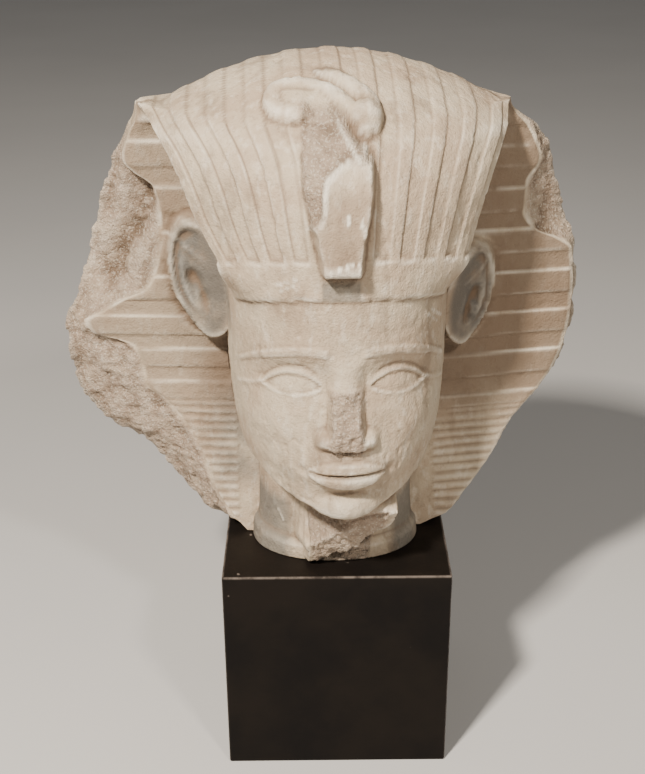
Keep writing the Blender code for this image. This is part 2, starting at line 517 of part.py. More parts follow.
def make_head(collection):
    """The head: the carved grid closed by a pole above and a middle point below, turned and set over the block."""
    points, zone, share = base_grid()
    carved = carve(points, zone, share)
    rows, columns = carved.shape[:2]
    pole = carved[-1].mean(axis=0)
    foot = np.array([0.0, 0.0, 0.0])
    vertices = np.concatenate([carved.reshape(-1, 3), [pole, foot]]) * UNIT
    turn = np.array([[math.cos(HEAD_TURN), -math.sin(HEAD_TURN)], [math.sin(HEAD_TURN), math.cos(HEAD_TURN)]])
    vertices[:, :2] = vertices[:, :2] @ turn.T + (HEAD_SHIFT, 0.0)
    vertices[:, 2] += BLOCK_HEIGHT + SEAT_GAP
    here = np.arange(columns)
    after = np.roll(here, -1)
    start = np.arange(rows - 1)[:, None] * columns
    quads = np.stack([start + here, start + after, start + columns + after, start + columns + here], -1).reshape(-1, 4)
    last = (rows - 1) * columns
    caps = np.stack([here + last, after + last, np.full(columns, rows * columns)], -1).tolist()
    caps += np.stack([after, here, np.full(columns, rows * columns + 1)], -1).tolist()
    mesh = bpy.data.meshes.new("head")
    mesh.from_pydata(vertices.tolist(), [], quads.tolist() + caps)
    mesh.shade_smooth()
    head = bpy.data.objects.new("head", mesh)
    collection.objects.link(head)
    triangles = 2 * len(quads) + len(caps)
    fewer = head.modifiers.new("Fewer faces", "DECIMATE")
    fewer.ratio = HEAD_TRIANGLES / triangles
    fewer.use_collapse_triangulate = True
    mesh.materials.append(make_material("cast stone", STONE_COLOUR, 0.75))


def make_block(collection):
    """The block: a square box with narrow eased edges, standing on the origin."""
    bpy.ops.mesh.primitive_cube_add(size=1.0, location=(0.0, 0.0, BLOCK_HEIGHT / 2))
    block = bpy.context.object
    block.name = block.data.name = "block"
    block.scale = (BLOCK_SIDE, BLOCK_SIDE, BLOCK_HEIGHT)
    bpy.ops.object.transform_apply(location=True, scale=True)
    for home in list(block.users_collection):
        home.objects.unlink(block)
    collection.objects.link(block)
    eased = block.modifiers.new("Eased edges", "BEVEL")
    eased.width = BLOCK_EDGE
    eased.segments = 2
    block.data.materials.append(make_material("black lacquer", BLOCK_COLOUR, 0.35))


def main():
    """Clear the scene and make the two pieces."""
    for thing in list(bpy.data.objects):
        bpy.data.objects.remove(thing, do_unlink=True)
    collection = bpy.data.collections.new("king's head on a block")
    bpy.context.scene.collection.children.link(collection)
    make_block(collection)
    make_head(collection)


main()
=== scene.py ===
"""Looks of a weathered stone head of a king in a striped royal headcloth, on a black block.

The head is one closed surface on a grid: level sections from the neck's foot to the corners of the headcloth,
closed by a crown of rings that meet at a pole behind the top. Its carving is relief on that surface, and the
same formulas give the shares of wear, painted highlight, painted shade, broken stone and grey-blue wash that
colour it.
"""

import math

import bpy
import numpy as np
from mathutils import Matrix, Vector


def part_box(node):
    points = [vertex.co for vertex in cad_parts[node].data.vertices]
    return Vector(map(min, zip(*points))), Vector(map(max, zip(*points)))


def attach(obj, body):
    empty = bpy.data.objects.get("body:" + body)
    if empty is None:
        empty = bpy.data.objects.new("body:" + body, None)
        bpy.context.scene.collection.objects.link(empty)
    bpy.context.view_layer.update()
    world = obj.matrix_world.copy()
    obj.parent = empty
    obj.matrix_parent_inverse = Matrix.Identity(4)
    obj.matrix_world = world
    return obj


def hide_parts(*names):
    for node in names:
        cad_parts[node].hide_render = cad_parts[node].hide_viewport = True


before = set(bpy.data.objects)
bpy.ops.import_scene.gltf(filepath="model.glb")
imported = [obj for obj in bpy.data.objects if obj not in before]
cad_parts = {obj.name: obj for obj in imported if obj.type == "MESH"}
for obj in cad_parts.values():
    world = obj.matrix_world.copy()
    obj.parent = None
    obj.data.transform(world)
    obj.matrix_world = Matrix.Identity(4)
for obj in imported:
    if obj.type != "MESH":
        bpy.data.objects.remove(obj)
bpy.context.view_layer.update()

bl_info = {
    "name": "Stone head on a block",
    "version": (1, 0, 0),
    "blender": (4, 5, 0),
    "location": "3D view > Sidebar > Statue",
    "description": "Carves and finishes a weathered stone head on its black block",
    "category": "Add Mesh",
}

HEAD_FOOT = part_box("head")[0].z
HEAD_HEIGHT = 0.2164

# The head's own unit and its heights in that unit
TOP = 216.4
CORNER = 195.0
RIGHT, LEFT = 1, -1

# Pale scratches and drips on the front: start and end as (x, height), and half width
SCRATCHES = [((-26.4, 138.3), (-18.7, 141.8), 0.5), ((-24.9, 136.1), (-19.5, 139.3), 0.4),
             ((0.4, 167.7), (0.3, 165.2), 0.8), ((5.6, 166.5), (5.2, 164.0), 0.6),
             ((6.3, 163.6), (6.3, 161.1), 0.8), ((34, 121), (39, 115), 0.4), ((36, 122), (41, 116), 0.4),
             ((-27.8, 19.2), (-25.7, 15.4), 0.5)]

# Share of painted shade over the wings on each side, deeper on the right, away from the key lamp, and height
# of the lacquer's fine bumps in metres
WING_PAINTED_SHADE = {RIGHT: 0.95, LEFT: 0.65}
LACQUER_GRAIN = 0.00004

# Stage: the floor's half width, the light all round, and the lamps' target, side, places and colours
FLOOR_REACH, SKY_COLOUR = 40.0, (1.0, 0.98, 0.95, 1.0)
LAMP_TARGET, LAMP_SIZE = (0.0, 0.0, 0.2), 0.10
LAMPS = {"key": ((-0.42, -0.72, 1.05), (1.0, 0.92, 0.81)), "fill": ((0.38, -0.78, 0.90), (1.0, 0.93, 0.83))}

# Kinds of settings in the panel
LENGTH, SHARE, COLOUR = {"unit": "LENGTH"}, {"min": 0, "max": 1}, {"subtype": "COLOR", "min": 0, "max": 1}

# Mesh density: level rows, crown rings, and columns of face, fold, wing, wing edge and back on each side
ROWS, RINGS = 194, 52
COLUMNS = {RIGHT: (104, 14, 42, 6, 29), LEFT: (104, 14, 32, 16, 29)}
FACE, FOLD, WING, EDGE, BACK = range(5)

# Crown: half width and fullness on each side, reach to front and back, depth of its middle, its pole's place,
# width and depth of the headcloth's corners beyond it, and heights over which wings and back close to it
CROWN_HALF = {RIGHT: 69.0, LEFT: 72.0}
CROWN_FULLNESS = {RIGHT: 1.8, LEFT: 2.03}
CROWN_FRONT, CROWN_BACK, CROWN_MIDDLE, CROWN_BEND = 52.0, 48.0, 12.0, 0.0008
POLE_SHARE = 0.6
CORNER_OUT, CORNER_BACK, CORNER_SOFT, CROWN_SOFT = 2.0, 7.0, 3.5, 0.25
CLOSING, CLOSING_BACK = 12.0, 36.0

# Outlines as (height, half width) or (height, depth) pairs. The sound face of the right wing ends just inside
# its rim up to the broken edge
WING_RIM = {
    RIGHT: [(0, 41), (2, 47), (4, 53.5), (11.5, 61.5), (21, 70), (30, 76.8), (44, 85), (50, 90), (60, 98.8),
            (68, 104.3), (78, 108.5), (94, 111.5), (104, 111.7), (115, 111), (128, 109), (140, 105.2),
            (152, 101), (163, 97.4), (175, 93.4), (183, 88.2), (190, 81.3), (196, 75)],
    LEFT: [(0, 43), (2.5, 46), (4, 51), (6.5, 60), (11.6, 66.3), (20.7, 75.6), (29.6, 82.8), (38.5, 93),
           (43.3, 103.5), (52, 112), (63.3, 118.7), (76, 120.7), (92, 121.3), (110, 114.3), (131, 107.6),
           (147, 102.9), (166, 96), (180, 89.6), (190, 86), (196, 84)],
}
WING_SOUND = {
    RIGHT: [(height, half - 2) for height, half in WING_RIM[RIGHT] if height < 110] + [
        (126, 108), (131, 101), (136, 90), (145, 84.5), (158, 85), (168, 90), (177, 87), (189, 79), (196, 74)],
    LEFT: [(0, 42), (4, 46), (18, 56.5), (31, 61), (45, 67), (60, 78.4), (66, 86), (78, 88), (86, 92),
           (91, 109), (97, 112), (101, 105), (107, 95), (113, 83), (125, 78), (136, 76), (150, 75.5),
           (160, 78), (166, 86), (172, 90), (184, 86), (190, 84.5), (196, 83)],
}
EDGE_DEPTH = {RIGHT: [(0, 4), (30, 6), (125, 5), (145, 11), (160, 8), (190, 6)],
              LEFT: [(0, 7), (20, 15), (60, 15), (92, 8), (100, 9), (125, 16), (160, 13), (190, 7)]}
WING_DEPTH = [(0, -9), (15, -3), (35, 3), (60, 8), (90, 11), (200, 11)]
WING_SWEEP = 0.11
BACK_DEPTH = [(0, 45), (20, 55), (50, 70), (80, 80), (110, 84), (140, 82), (170, 74), (195, 60)]
BACK_POWER = 1.36
FOLD_HALF = {
    RIGHT: [(118, 47.5), (130, 48), (139, 50.2), (143, 52), (151, 54.7), (161, 57.8), (170, 60.9), (178, 64.4),
            (185, 68), (190, 71), (196, 74)],
    LEFT: [(118, 47.5), (130, 48), (139, 48.6), (143, 49.8), (150, 54), (156, 57.2), (162, 59.8), (169, 62.3),
           (175, 65), (181, 68.2), (186, 71.8), (190, 75.8), (193, 79.5), (196, 82.5)],
}
FACE_DEPTH = [(26, -49), (34, -59), (42, -63.5), (50, -63), (59, -65), (72, -64.5), (85, -62.5), (98, -60.5),
              (111, -62), (134, -61.8), (150, -61)]
FACE_HALF = [(28, 35), (40, 40.5), (52, 44), (70, 46.8), (90, 48), (140, 48.3)]
FACE_FULLNESS = [(28, 1.8), (50, 2.1), (70, 2.25), (90, 2.35), (125, 2.4)]
NECK_HALF = {RIGHT: [(0, 37), (5, 36.5), (8, 34.5), (40, 34), (70, 38)],
             LEFT: [(0, 39.5), (7, 38.8), (10, 36.5), (40, 35.5), (70, 38)]}
NECK_DEPTH = [(0, -37.5), (6, -37), (9, -33.5), (40, -33), (70, -38)]
DOME_REACH = [(21.4, 52), (26.4, 57.3), (36.4, 64.5), (51.4, 70.5), (67.4, 73), (86.4, 74)]
DOME_BEND = [(130, 0.0100), (139, 0.0098), (150, 0.0093), (170, 0.0058), (183, 0.0028), (190, 0.0011),
             (195, CROWN_BEND), (200, CROWN_BEND)]

# Headcloth carving
BAND_TOP, BAND_LOW, BAND_STEP = 149.6, 133.6, 1.3
PLEAT_PITCH, PLEAT_SHARE, PLEAT_STEP = 0.187, 0.44, 0.8
STRIPE_COUNT = {RIGHT: [(40, 7.0), (60, 5.95), (176, 0), (196, -1.02)],
                LEFT: [(40, 7.7), (60, 6.55), (101, 4.0), (180.5, 0), (200, -1)]}
STRIPE_SHARE, STRIPE_STEP = 0.58, 1.1
RIB_TOP, RIB_PITCH, RIB_STEP = {RIGHT: 53.0, LEFT: 60.0}, 3.9, 0.85
TAIL_HALF, TAIL_TOP, TAIL_RISE = 13.0, 96.0, 5.0
SCOOP = [(108, -104), (115, -102), (128, -95.6), (143, -86.4), (151, -83.8), (160, -81.4), (168, -84)]

# Tilt of the face and brow band, looking up, about the front of the face
FACE_TILT, FACE_FRONT = 0.30, -62.0

# Face: (distance from the middle, height) of an eye, and heights of the brows and of the lips' parting
EYE_AT = (21.5, 97.2)
BROW_HEIGHT, LIP_HEIGHT, LIP_HALF = 112.6, 59.0, 15.8

# Ear: middle, half width and half height on each side, and lean
EAR_AT = {RIGHT: (60.5, 109.5), LEFT: (59.5, 120.5)}
EAR_SIZE = {RIGHT: (11.5, 25.0), LEFT: (13.8, 29.5)}
EAR_LEAN = math.radians(10.0)

# Broken root of the beard: its two edges and its depth by height, and where its grooved side meets the neck
ROOT_LEFT = [(0, -16), (12.5, -16), (15, -12), (19.5, -4), (23.5, 2.3), (26.5, 7.6), (30.5, 14), (33, 19)]
ROOT_RIGHT = [(0, -12), (3.5, -8.5), (6.5, -3), (9.5, 5), (11, 7.5), (13.5, 8), (21, 14.5), (23, 17.5),
              (28, 21.5), (33, 23)]
ROOT_DEPTH = [(0, -40), (10, -44), (22, -50), (34, -57), (42, -62)]
ROOT_SIDE = -20.5

# Cobra: hood outline, its broken corner and crest, the two turns of its body as (x, height) on the dome, the
# right edge of the scar between them, and their knot
HOOD_LEFT = [(142, -9), (147, -9.7), (154, -11.3), (163, -13.4), (170, -15), (175, -16.2), (185, -16.2),
             (193, -14.5), (200, -13)]
HOOD_RIGHT = [(142, 5.3), (146, 5.8), (158, 7.4), (166, 9.1), (174, 10.3), (185, 10.9), (187.5, 9),
              (192, 4.8), (197, 2.2), (203, -1)]
HOOD_FOOT, HOOD_HEAD, HOOD_PROUD, HOOD_SLOPE = 144.3, 203.0, 8.0, 2.6
HOOD_CHIP = [(160, -16), (163, -12.5), (165.5, -9.7), (169, -8.5), (175, -8), (180, -7.1), (183, -4),
             (185.5, -0.9), (186.7, 3), (188.5, 8), (192, 5.8), (197, 3.2), (203, 0)]
HOOD_CREST = [(184, 6.5), (190, 2.5), (196, -1), (201, -3)]
COIL_LEFT = [(-18, 198.6), (-23, 199.4), (-26, 201.6), (-25.6, 204.3), (-21.5, 206.4), (-15.5, 207),
             (-10.5, 206.7), (-5.7, 205.4), (-1.3, 203.5), (2.7, 200.8), (5.8, 197.8), (8.7, 195.6)]
COIL_RIGHT = [(-6, 212), (-0.4, 209.7), (3.9, 207.3), (7.9, 204.7), (11, 201.7), (12, 198.7), (10.7, 195.8),
              (8.6, 195)]
COIL_SCAR = [(182, 10), (188, 7.5), (195, 2.5), (202, -2)]
COIL_RADIUS, COIL_RISE, COIL_FILL, COIL_FADE = 4.3, 4.2, 3.2, 213.5
KNOT_AT, KNOT_RADIUS, KNOT_RISE = (8.8, 198.3), 7.2, 6.6


def smooth(t):
    """Rise from 0 at t = 0 to 1 at t = 1 with level ends."""
    t = np.clip(t, 0.0, 1.0)
    return t * t * (3.0 - 2.0 * t)


def hill(d):
    """Round bump: 1 at d = 0, falling to 0 at d = 1."""
    return np.clip(1.0 - d * d, 0.0, 1.0) ** 2


def mound(x, z, at, size):
    """Round bump over an oval whose middle and half sizes are (x, height) pairs."""
    return hill(np.hypot((x - at[0]) / size[0], (z - at[1]) / size[1]))


def between(x, low, high, edge):
    """1 between low and high and 0 outside, with soft edges of the given width."""
    return smooth((x - low) / edge + 0.5) * smooth((high - x) / edge + 0.5)


def steps(count):
    """Even shares along a row from 0, stopping one step short of 1."""
    return np.linspace(0, 1, count, endpoint=False)[None]


def mix(start, end, share):
    """Value or place at a share of the way from start to end."""
    return start + (end - start) * share


def curve(at, points):
    """Smooth curve through (position, value) pairs that never overshoots, held level beyond its ends."""
    place, value = np.array(points, float).T
    step = np.diff(place)
    slope = np.diff(value) / step
    tangent = np.concatenate([slope[:1], np.zeros(len(slope) - 1), slope[-1:]])
    before, after = slope[:-1], slope[1:]
    same = before * after > 0
    w1, w2 = 2 * step[1:] + step[:-1], step[1:] + 2 * step[:-1]
    tangent[1:-1][same] = (w1 + w2)[same] / (w1[same] / before[same] + w2[same] / after[same])
    at = np.asarray(at, float)
    i = np.clip(np.searchsorted(place, at, side="right") - 1, 0, len(step) - 1)
    t = np.clip((at - place[i]) / step[i], 0.0, 1.0)
    start = (2 * t**3 - 3 * t**2 + 1) * value[i] + (t**3 - 2 * t**2 + t) * step[i] * tangent[i]
    return start + (3 * t**2 - 2 * t**3) * value[i + 1] + (t**3 - t**2) * step[i] * tangent[i + 1]


def noise(points, cell, seed):
    """Smooth noise from -1 to 1: hashed values at the corners of a lattice, blended between them."""
    place = points / cell + 1000.0 + 17.3 * seed
    corner = np.floor(place).astype(np.int64)
    share = smooth(place - corner)
    total = np.zeros(points.shape[:-1])
    for step in np.ndindex(2, 2, 2):
        i, j, k = np.moveaxis(corner + step, -1, 0)
        value = (i * 73856093 ^ j * 19349663 ^ k * 83492791 ^ (seed * 2654435761)) & 0xFFFFFFFF
        value = (value ^ (value >> 13)) * 1274126177 & 0xFFFFFFFF
        value = (value ^ (value >> 16)) & 0xFFFF
        weight = np.prod(np.where(np.array(step) > 0, share, 1.0 - share), axis=-1)
        total += weight * (value / 32767.5 - 1.0)
    return total


def broken_stone(points, size, seed):
    """Relief of a broken face: coarse, middling and fine noise."""
    coarse, middling, fine = (noise(points, cell, seed + n) for n, cell in enumerate((11.0, 4.5, 1.9)))
    return size * (0.6 * coarse + 0.35 * middling + 0.22 * fine)


def by_side(x, value):
    """A value given for each side, at points whose distance from the middle is positive on the right."""
    return np.where(x > 0, value[RIGHT], value[LEFT])


def side_curve(x, at, points):
    """A curve given for each side."""
    return np.where(x > 0, curve(at, points[RIGHT]), curve(at, points[LEFT]))


def on_crown(points):
    """Which rows of the grid are the crown's rings."""
    return np.arange(len(points))[:, None] >= ROWS


def tilted_height(points):
    """Height along the tilted face and brow band."""
    return points[..., 2] + FACE_TILT * (points[..., 1] - FACE_FRONT)


def crown_drop(x):
    """Share of the crown's rise lost towards its sides."""
    return (np.abs(x) / by_side(x, CROWN_HALF)) ** by_side(x, CROWN_FULLNESS)


def levelled(height, soft):
    """Height that flattens out just above zero, as the crown does towards the headcloth's corners."""
    return np.where(height > soft, height, soft * np.exp(np.minimum(height / soft - 1, 0)))


def dome_depth(x, z):
    """Depth of the headcloth's front over (x, z): drops across and in depth add up to the height lost."""
    rise = TOP - CORNER
    lost = levelled(TOP - z - rise * crown_drop(x), CORNER_SOFT)
    reach = np.where(lost < rise, CROWN_FRONT * np.sqrt(lost / rise), curve(lost, DOME_REACH))
    return CROWN_MIDDLE - reach + curve(z, DOME_BEND) * x * x


def crown_height(x, y):
    """Height of the crown above the headcloth's corners, negative beyond its edge."""
    bend = CROWN_BEND * x * x
    behind = y - CROWN_MIDDLE - bend
    drop = crown_drop(x) + (behind / np.where(behind < 0, CROWN_FRONT, CROWN_BACK - bend)) ** 2
    return (TOP - CORNER) * (1 - drop)


def oval(across, reach, angle, exponent, middle):
    """Quarter of a rounded section, from straight ahead (angle 0) to the side."""
    return np.stack([across * np.sin(angle) ** exponent, middle - reach * np.cos(angle) ** exponent], -1)


def face_and_fold(z, side, counts, depth):
    """Front of the section to where the wing starts: the neck, the face, and the dome with its fold on top.

    Returns the points of the face and fold columns, and the half width where the wing starts.
    """
    t_face, t_fold = steps(counts[FACE]), steps(counts[FOLD])
    angle = np.radians(np.concatenate([60 * t_face, 60 + 30 * t_fold], 1))
    half, neck_half = curve(z, FACE_HALF), curve(z, NECK_HALF[side])
    face = oval(half, depth - curve(z, FACE_DEPTH), angle, 2 / curve(z, FACE_FULLNESS), depth)
    neck = oval(neck_half, depth - curve(z, NECK_DEPTH), angle, 0.92, depth)
    jaw = smooth((z - 33 - 15 * np.sin(angle) ** 2) / 14 + 0.5)[..., None]
    low = mix(neck, face, jaw)
    fold = curve(z, FOLD_HALF[side])
    across = fold * np.sin(np.radians(60) * t_face) / np.sin(np.radians(60))
    front = np.stack([across, dome_depth(across * side, z)], -1)
    dome = smooth((z - 124) / 16)
    start = mix(mix(neck_half, half, smooth((z - 48) / 14 + 0.5)), fold - 5, dome)
    turn = np.stack([mix(fold, start, t_fold) - 2 * np.sin(np.pi * t_fold),
                     mix(dome_depth(fold * side, z), depth, t_fold)], -1)
    return mix(low, np.concatenate([front, turn], 1), dome[..., None]), start


def back_curve(across, start, end, angle):
    """Back of a section, from the wing's rim at the side (angle 0) to its middle."""
    across = across * np.cos(angle).clip(0) ** BACK_POWER
    return np.stack([across, mix(start, end, np.sin(angle) ** BACK_POWER)], -1)


def half_section(z, side, counts):
    """Level sections of one side from the middle of the face round to the middle of the back."""
    z = z[:, None]
    depth = curve(z, WING_DEPTH)
    front, start = face_and_fold(z, side, counts, depth)
    t_wing, t_edge = steps(counts[WING]) ** 1.4, steps(counts[EDGE])
    t_back = np.linspace(0, 1, counts[BACK])[None]
    sound = np.maximum(curve(z, WING_SOUND[side]), start + 0.8)
    sound_depth = depth + WING_SWEEP * (sound - start)
    wing = np.stack([mix(start, sound, t_wing), mix(depth, sound_depth, t_wing)], -1)
    rim = np.maximum(curve(z, WING_RIM[side]), sound + 1.0)
    rim_depth = sound_depth + curve(z, EDGE_DEPTH[side])
    edge = np.stack([mix(sound, rim, t_edge), mix(sound_depth, rim_depth, t_edge**1.4)], -1)
    angle = t_back * np.pi / 2
    section = np.concatenate([front, wing, edge, back_curve(rim, rim_depth, curve(z, BACK_DEPTH), angle)], 1)
    fold = curve(z, FOLD_HALF[side])
    inner = np.stack([fold, dome_depth(fold * side, z)], -1)
    outer = np.broadcast_to(inner[-1], inner.shape) + (CORNER_OUT, CORNER_BACK)
    t_turn = steps(counts[FOLD] + counts[WING] + counts[EDGE])[..., None]
    behind = back_curve(outer[..., 0], outer[..., 1], CROWN_MIDDLE + CROWN_BACK, angle)
    closed = np.concatenate([front[:, :counts[FACE]], mix(inner, outer, t_turn), behind], 1)
    over = np.full(sum(counts), CLOSING)
    over[-counts[BACK]:] += (CLOSING_BACK - CLOSING) * smooth(2 * t_back[0])
    plan = mix(section, closed, smooth((z - CORNER) / over + 1)[..., None])
    return np.concatenate([plan * (side, 1), np.broadcast_to(z[..., None], plan.shape[:2] + (1,))], -1)


def crown_rings(edge, count):
    """Rings over the top: straight in plan from edge to pole, on a dome that levels out at its corners."""
    share = 1 - 0.985 * np.linspace(0, 1, count + 1)[1:] ** 1.25
    pole = np.array([0.0, CROWN_MIDDLE + CROWN_BACK * POLE_SHARE])
    plan = mix(pole, edge[None, :, :2], share[:, None, None])
    spare = np.clip(crown_height(edge[:, 0], edge[:, 1]), 0, None) * share[:, None] ** 8
    height = levelled(crown_height(plan[..., 0], plan[..., 1]) - spare, CROWN_SOFT)
    return np.concatenate([plan, CORNER + height[..., None]], -1)


def row_heights():
    """Heights of the level rows, closer together on the face and closest at the foot."""
    fine = np.linspace(0.0, CORNER, 4000)
    density = 1.0 + 0.4 * smooth((122 - fine) / 10) + 1.5 * (fine < 3)
    total = np.concatenate([[0], np.cumsum((density[1:] + density[:-1]) / 2)])
    return np.interp(np.linspace(0, total[-1], ROWS), total, fine)


def base_grid():
    """The uncarved head: points by row and column, each column's zone, and each point's share of the fold."""
    z = row_heights()
    right, left = (half_section(z, side, COLUMNS[side]) for side in (RIGHT, LEFT))
    zones = [np.repeat(np.arange(5), COLUMNS[side]) for side in (RIGHT, LEFT)]
    low = np.concatenate([right, left[:, -2:0:-1]], 1)
    zone = np.concatenate([zones[0], zones[1][-2:0:-1]])
    points = np.concatenate([low, crown_rings(low[-1], RINGS)])
    return points, zone, points[..., 0] / side_curve(points[..., 0], points[..., 2], FOLD_HALF)


def grid_normals(points):
    """Outward directions of the grid, from its neighbours around the row and up the column."""
    around = np.roll(points, -1, 1) - np.roll(points, 1, 1)
    out = np.cross(around, np.gradient(points, axis=0))
    return out / np.maximum(np.linalg.norm(out, axis=-1, keepdims=True), 1e-9)


def pleat_place(points, share):
    """Place across a pleat and the gap beside it, from 0 to 1, slightly waved."""
    return np.mod((share + 0.006 * noise(points * (1, 0.3, 0.3), 16.0, 3)) / PLEAT_PITCH + PLEAT_SHARE, 1.0)


def waved_height(points):
    """Height along the wings' slightly waved stripes."""
    return points[..., 2] + 0.5 * noise(points * (0.35, 1, 0.2), 9.0, 5)


def pleats(points, share):
    """Raised pleats of the dome, evenly spaced across it and worn lower on top."""
    place = pleat_place(points, share)
    above = smooth((points[..., 2] - CORNER + 8) / 16)
    edge = 0.07 + 0.05 * above
    return PLEAT_STEP * (1 - 0.4 * above) * smooth(place / edge) * smooth((PLEAT_SHARE - place) / edge + 1)


def stripes(points):
    """Raised stripes of the wings, wide above and narrow ribs below."""
    height = waved_height(points)
    relief = np.zeros(height.shape)
    for side in (RIGHT, LEFT):
        place = np.mod(curve(height, STRIPE_COUNT[side]), 1.0)
        wide = STRIPE_STEP * smooth(place / 0.066) * smooth((STRIPE_SHARE - place) / 0.066 + 1)
        ribs = RIB_STEP * (1 - np.abs(np.cos(np.pi * (height - RIB_TOP[side]) / RIB_PITCH)) ** 3)
        relief = np.where(points[..., 0] * side > 0, np.where(height > RIB_TOP[side], wide, ribs), relief)
    return relief


def back_relief(points):
    """Stripes of the back, drooping towards the middle, and the gathered tail below them."""
    x, z = np.abs(points[..., 0]), points[..., 2]
    drooped = points + np.stack([0 * x, 0 * x, 26 * smooth(1 - x / 95)], -1)
    relief = stripes(drooped) * smooth((x - TAIL_HALF) / 5) * smooth((180 - z) / 12)
    tail = np.sqrt(np.clip(1 - (x / (TAIL_HALF + 0.04 * z)) ** 2, 0, 1))
    return relief + TAIL_RISE * tail * smooth((TAIL_TOP - z) / 16)


def eyes(x, z):
    """Brow bands, sockets, lids and balls of the eyes, by distance from the middle and height on the face."""
    along = np.clip((x - EYE_AT[0]) / 11.8, -1, 1)
    upper = EYE_AT[1] + 0.8 * along + 5.2 * (1 - np.abs(along) ** 2.1)
    lower = EYE_AT[1] + 0.8 * along - 3.2 * (1 - np.abs(along) ** 1.9)
    length = between(x, 9.8, 33.2, 1.8)
    ball = 3.4 * mound(x, z, (21.5, 97.8), (16, 10.5)) - 3.0 * mound(x, z, (21, 99.5), (21, 11.5))
    opening = smooth(z - lower + 0.5) * smooth(upper - z + 0.5) * length
    ball -= 0.9 * opening * (1 - mound(x, z, (21.5, 98), (13, 7)))
    lids = 0.55 * hill((z - upper - 0.8) / 1.5) * between(x, 9.5, 36, 2.5)
    lids += 0.45 * hill((z - lower + 0.8) / 1.4) * length
    lids -= 0.6 * hill((z - upper - 3.4) / 1.5) * between(x, 12, 35, 5)
    tail = 0.7 * between(x, 32.5, 44, 2) * hill((z - 97.9 + 0.1 * np.clip(x - 33, 0, 12)) / 1.9)
    arch = BROW_HEIGHT - curve(x, [(6, 1.6), (19, 0), (34, 2.0), (44, 6.0)])
    wide = 1.9 - 0.8 * smooth((x - 28) / 16)
    brow = 0.9 * between(x, 7.0, 43.0, 3) * between(z, arch - wide, arch + wide, 1.3)
    return ball + lids + tail + brow + 0.5 * mound(x, z, (21, 112), (24, 9))


def nose(x, z, points):
    """Forward height of the nose, cut off along its ridge and tip by the break."""
    ridge = curve(z, [(66, 0), (69, 0.5), (71.2, 8), (74, 13.5), (77, 13.5), (84, 10.5), (92, 6.8), (104, 2.4),
                      (110, 0)])
    width = curve(z, [(68, 8.5), (73, 9.5), (78, 8.2), (90, 7.6), (104, 8.5)])
    whole = ridge * np.clip(1 - (x / width) ** 2, 0, 1) ** 1.2
    nostril = 5.0 * mound(x, z, (9.3, 74.3), (5.4, 5.2))
    whole = np.maximum(whole, nostril) + 0.4 * np.minimum(whole, nostril)
    cut = curve(z, [(66, 9), (69, 3.6), (73, 4.6), (78, 6.2), (85, 5.6), (91, 4.4), (95, 5.5)])
    return np.minimum(whole, cut + broken_stone(points, 2.0, 31))


def mouth(x, z):
    """Lips, their parting and corners, the groove above them, and the chin."""
    line = LIP_HEIGHT + 0.9 * (x / LIP_HALF) ** 2
    taper = np.clip(1 - (x / 16.0) ** 2, 0, 1)
    above = (z - line) / (0.8 + 5.6 * taper**0.8 - np.exp(-((x / 2.6) ** 2)))
    below = (line - z) / (0.8 + 6.6 * taper**0.9)
    upper = smooth(above / 0.15 + 0.2) * smooth((1 - above) / 0.22) * (0.65 + 0.35 * np.clip(1 - above, 0, 1))
    lower = smooth(below / 0.15 + 0.2) * smooth((1 - below) / 0.45)
    lips = np.where(above > 0, 2.4 * taper**0.45 * upper, 2.5 * taper**0.5 * lower)
    lips -= 1.1 * hill((z - line) / 1.5) * smooth((LIP_HALF - x) / 2)
    hollows = 1.0 * mound(x, z, (17.5, 60), (3.6, 3.2)) + 0.8 * mound(x, z, (0, 68.5), (2.8, 3.2))
    hollows += 1.6 * mound(x, z, (0, 48.5), (16, 4.6))
    swell = 3.0 * mound(x, z, (0, 60), (27, 19)) + 3.2 * mound(x, z, (0, 41), (17, 8.5))
    return lips + swell - hollows


def cheeks(x, z):
    """Full cheeks and the soft furrow beside the nose."""
    return 1.6 * mound(x, z, (29, 82), (17, 14)) - 0.9 * mound(x, z, (17, 77), (7, 11))


def ear_place(side, far, z):
    """Place across and up a leaning ear, in shares of its half width and half height."""
    (across, height), (half, tall) = EAR_AT[side], EAR_SIZE[side]
    dx, dz = far - across, z - height
    u = (dx * math.cos(EAR_LEAN) - dz * math.sin(EAR_LEAN)) / half
    return u, (dx * math.sin(EAR_LEAN) + dz * math.cos(EAR_LEAN)) / tall


def ear(side, far, z):
    """Forward reach of an ear: an oval slanting out of the face's side, with rim, groove, folds and bowl."""
    u, v = ear_place(side, far, z)
    u = np.where(u > 0, u * (1 + 0.3 * smooth((-v - 0.1) / 0.9)), 0.8 * u)
    r = np.hypot(u, v)
    body = smooth((1 - r) / 0.12)
    rim = hill((r - 0.86) / 0.13) * smooth((u + 0.5) / 0.4) * smooth((v + 0.7) / 0.4)
    groove = hill((r - 0.68) / 0.12) * smooth((u + 0.3) / 0.4) * smooth((v + 0.45) / 0.3)
    ridge = hill((r - 0.50) / 0.12) * smooth((u + 0.05) / 0.3) * between(v, -0.55, 0.3, 0.3)
    branch = hill((v - 0.405 - 0.51 * u) / 0.10) * between(u, -0.3, 0.45, 0.2)
    bowl = mound(u, v, (0.14, 0.02), (0.36, 0.24)) + 0.8 * mound(u, v, (-0.02, -0.28), (0.22, 0.34))
    slant = 0.5 * np.clip(EAR_AT[side][0] + EAR_SIZE[side][0] - far, 0, None)
    return body * (3.5 + slant + 1.8 * rim - 1.6 * groove + 1.4 * ridge + 1.2 * branch - 4.0 * bowl)


def from_stroke(points, start, end):
    """Distance of each point from the straight stroke between two places."""
    step = np.subtract(end, start)
    along = np.clip(((points - start) @ step) / (step @ step), 0, 1)
    return np.linalg.norm(points - start - along[..., None] * step, axis=-1)


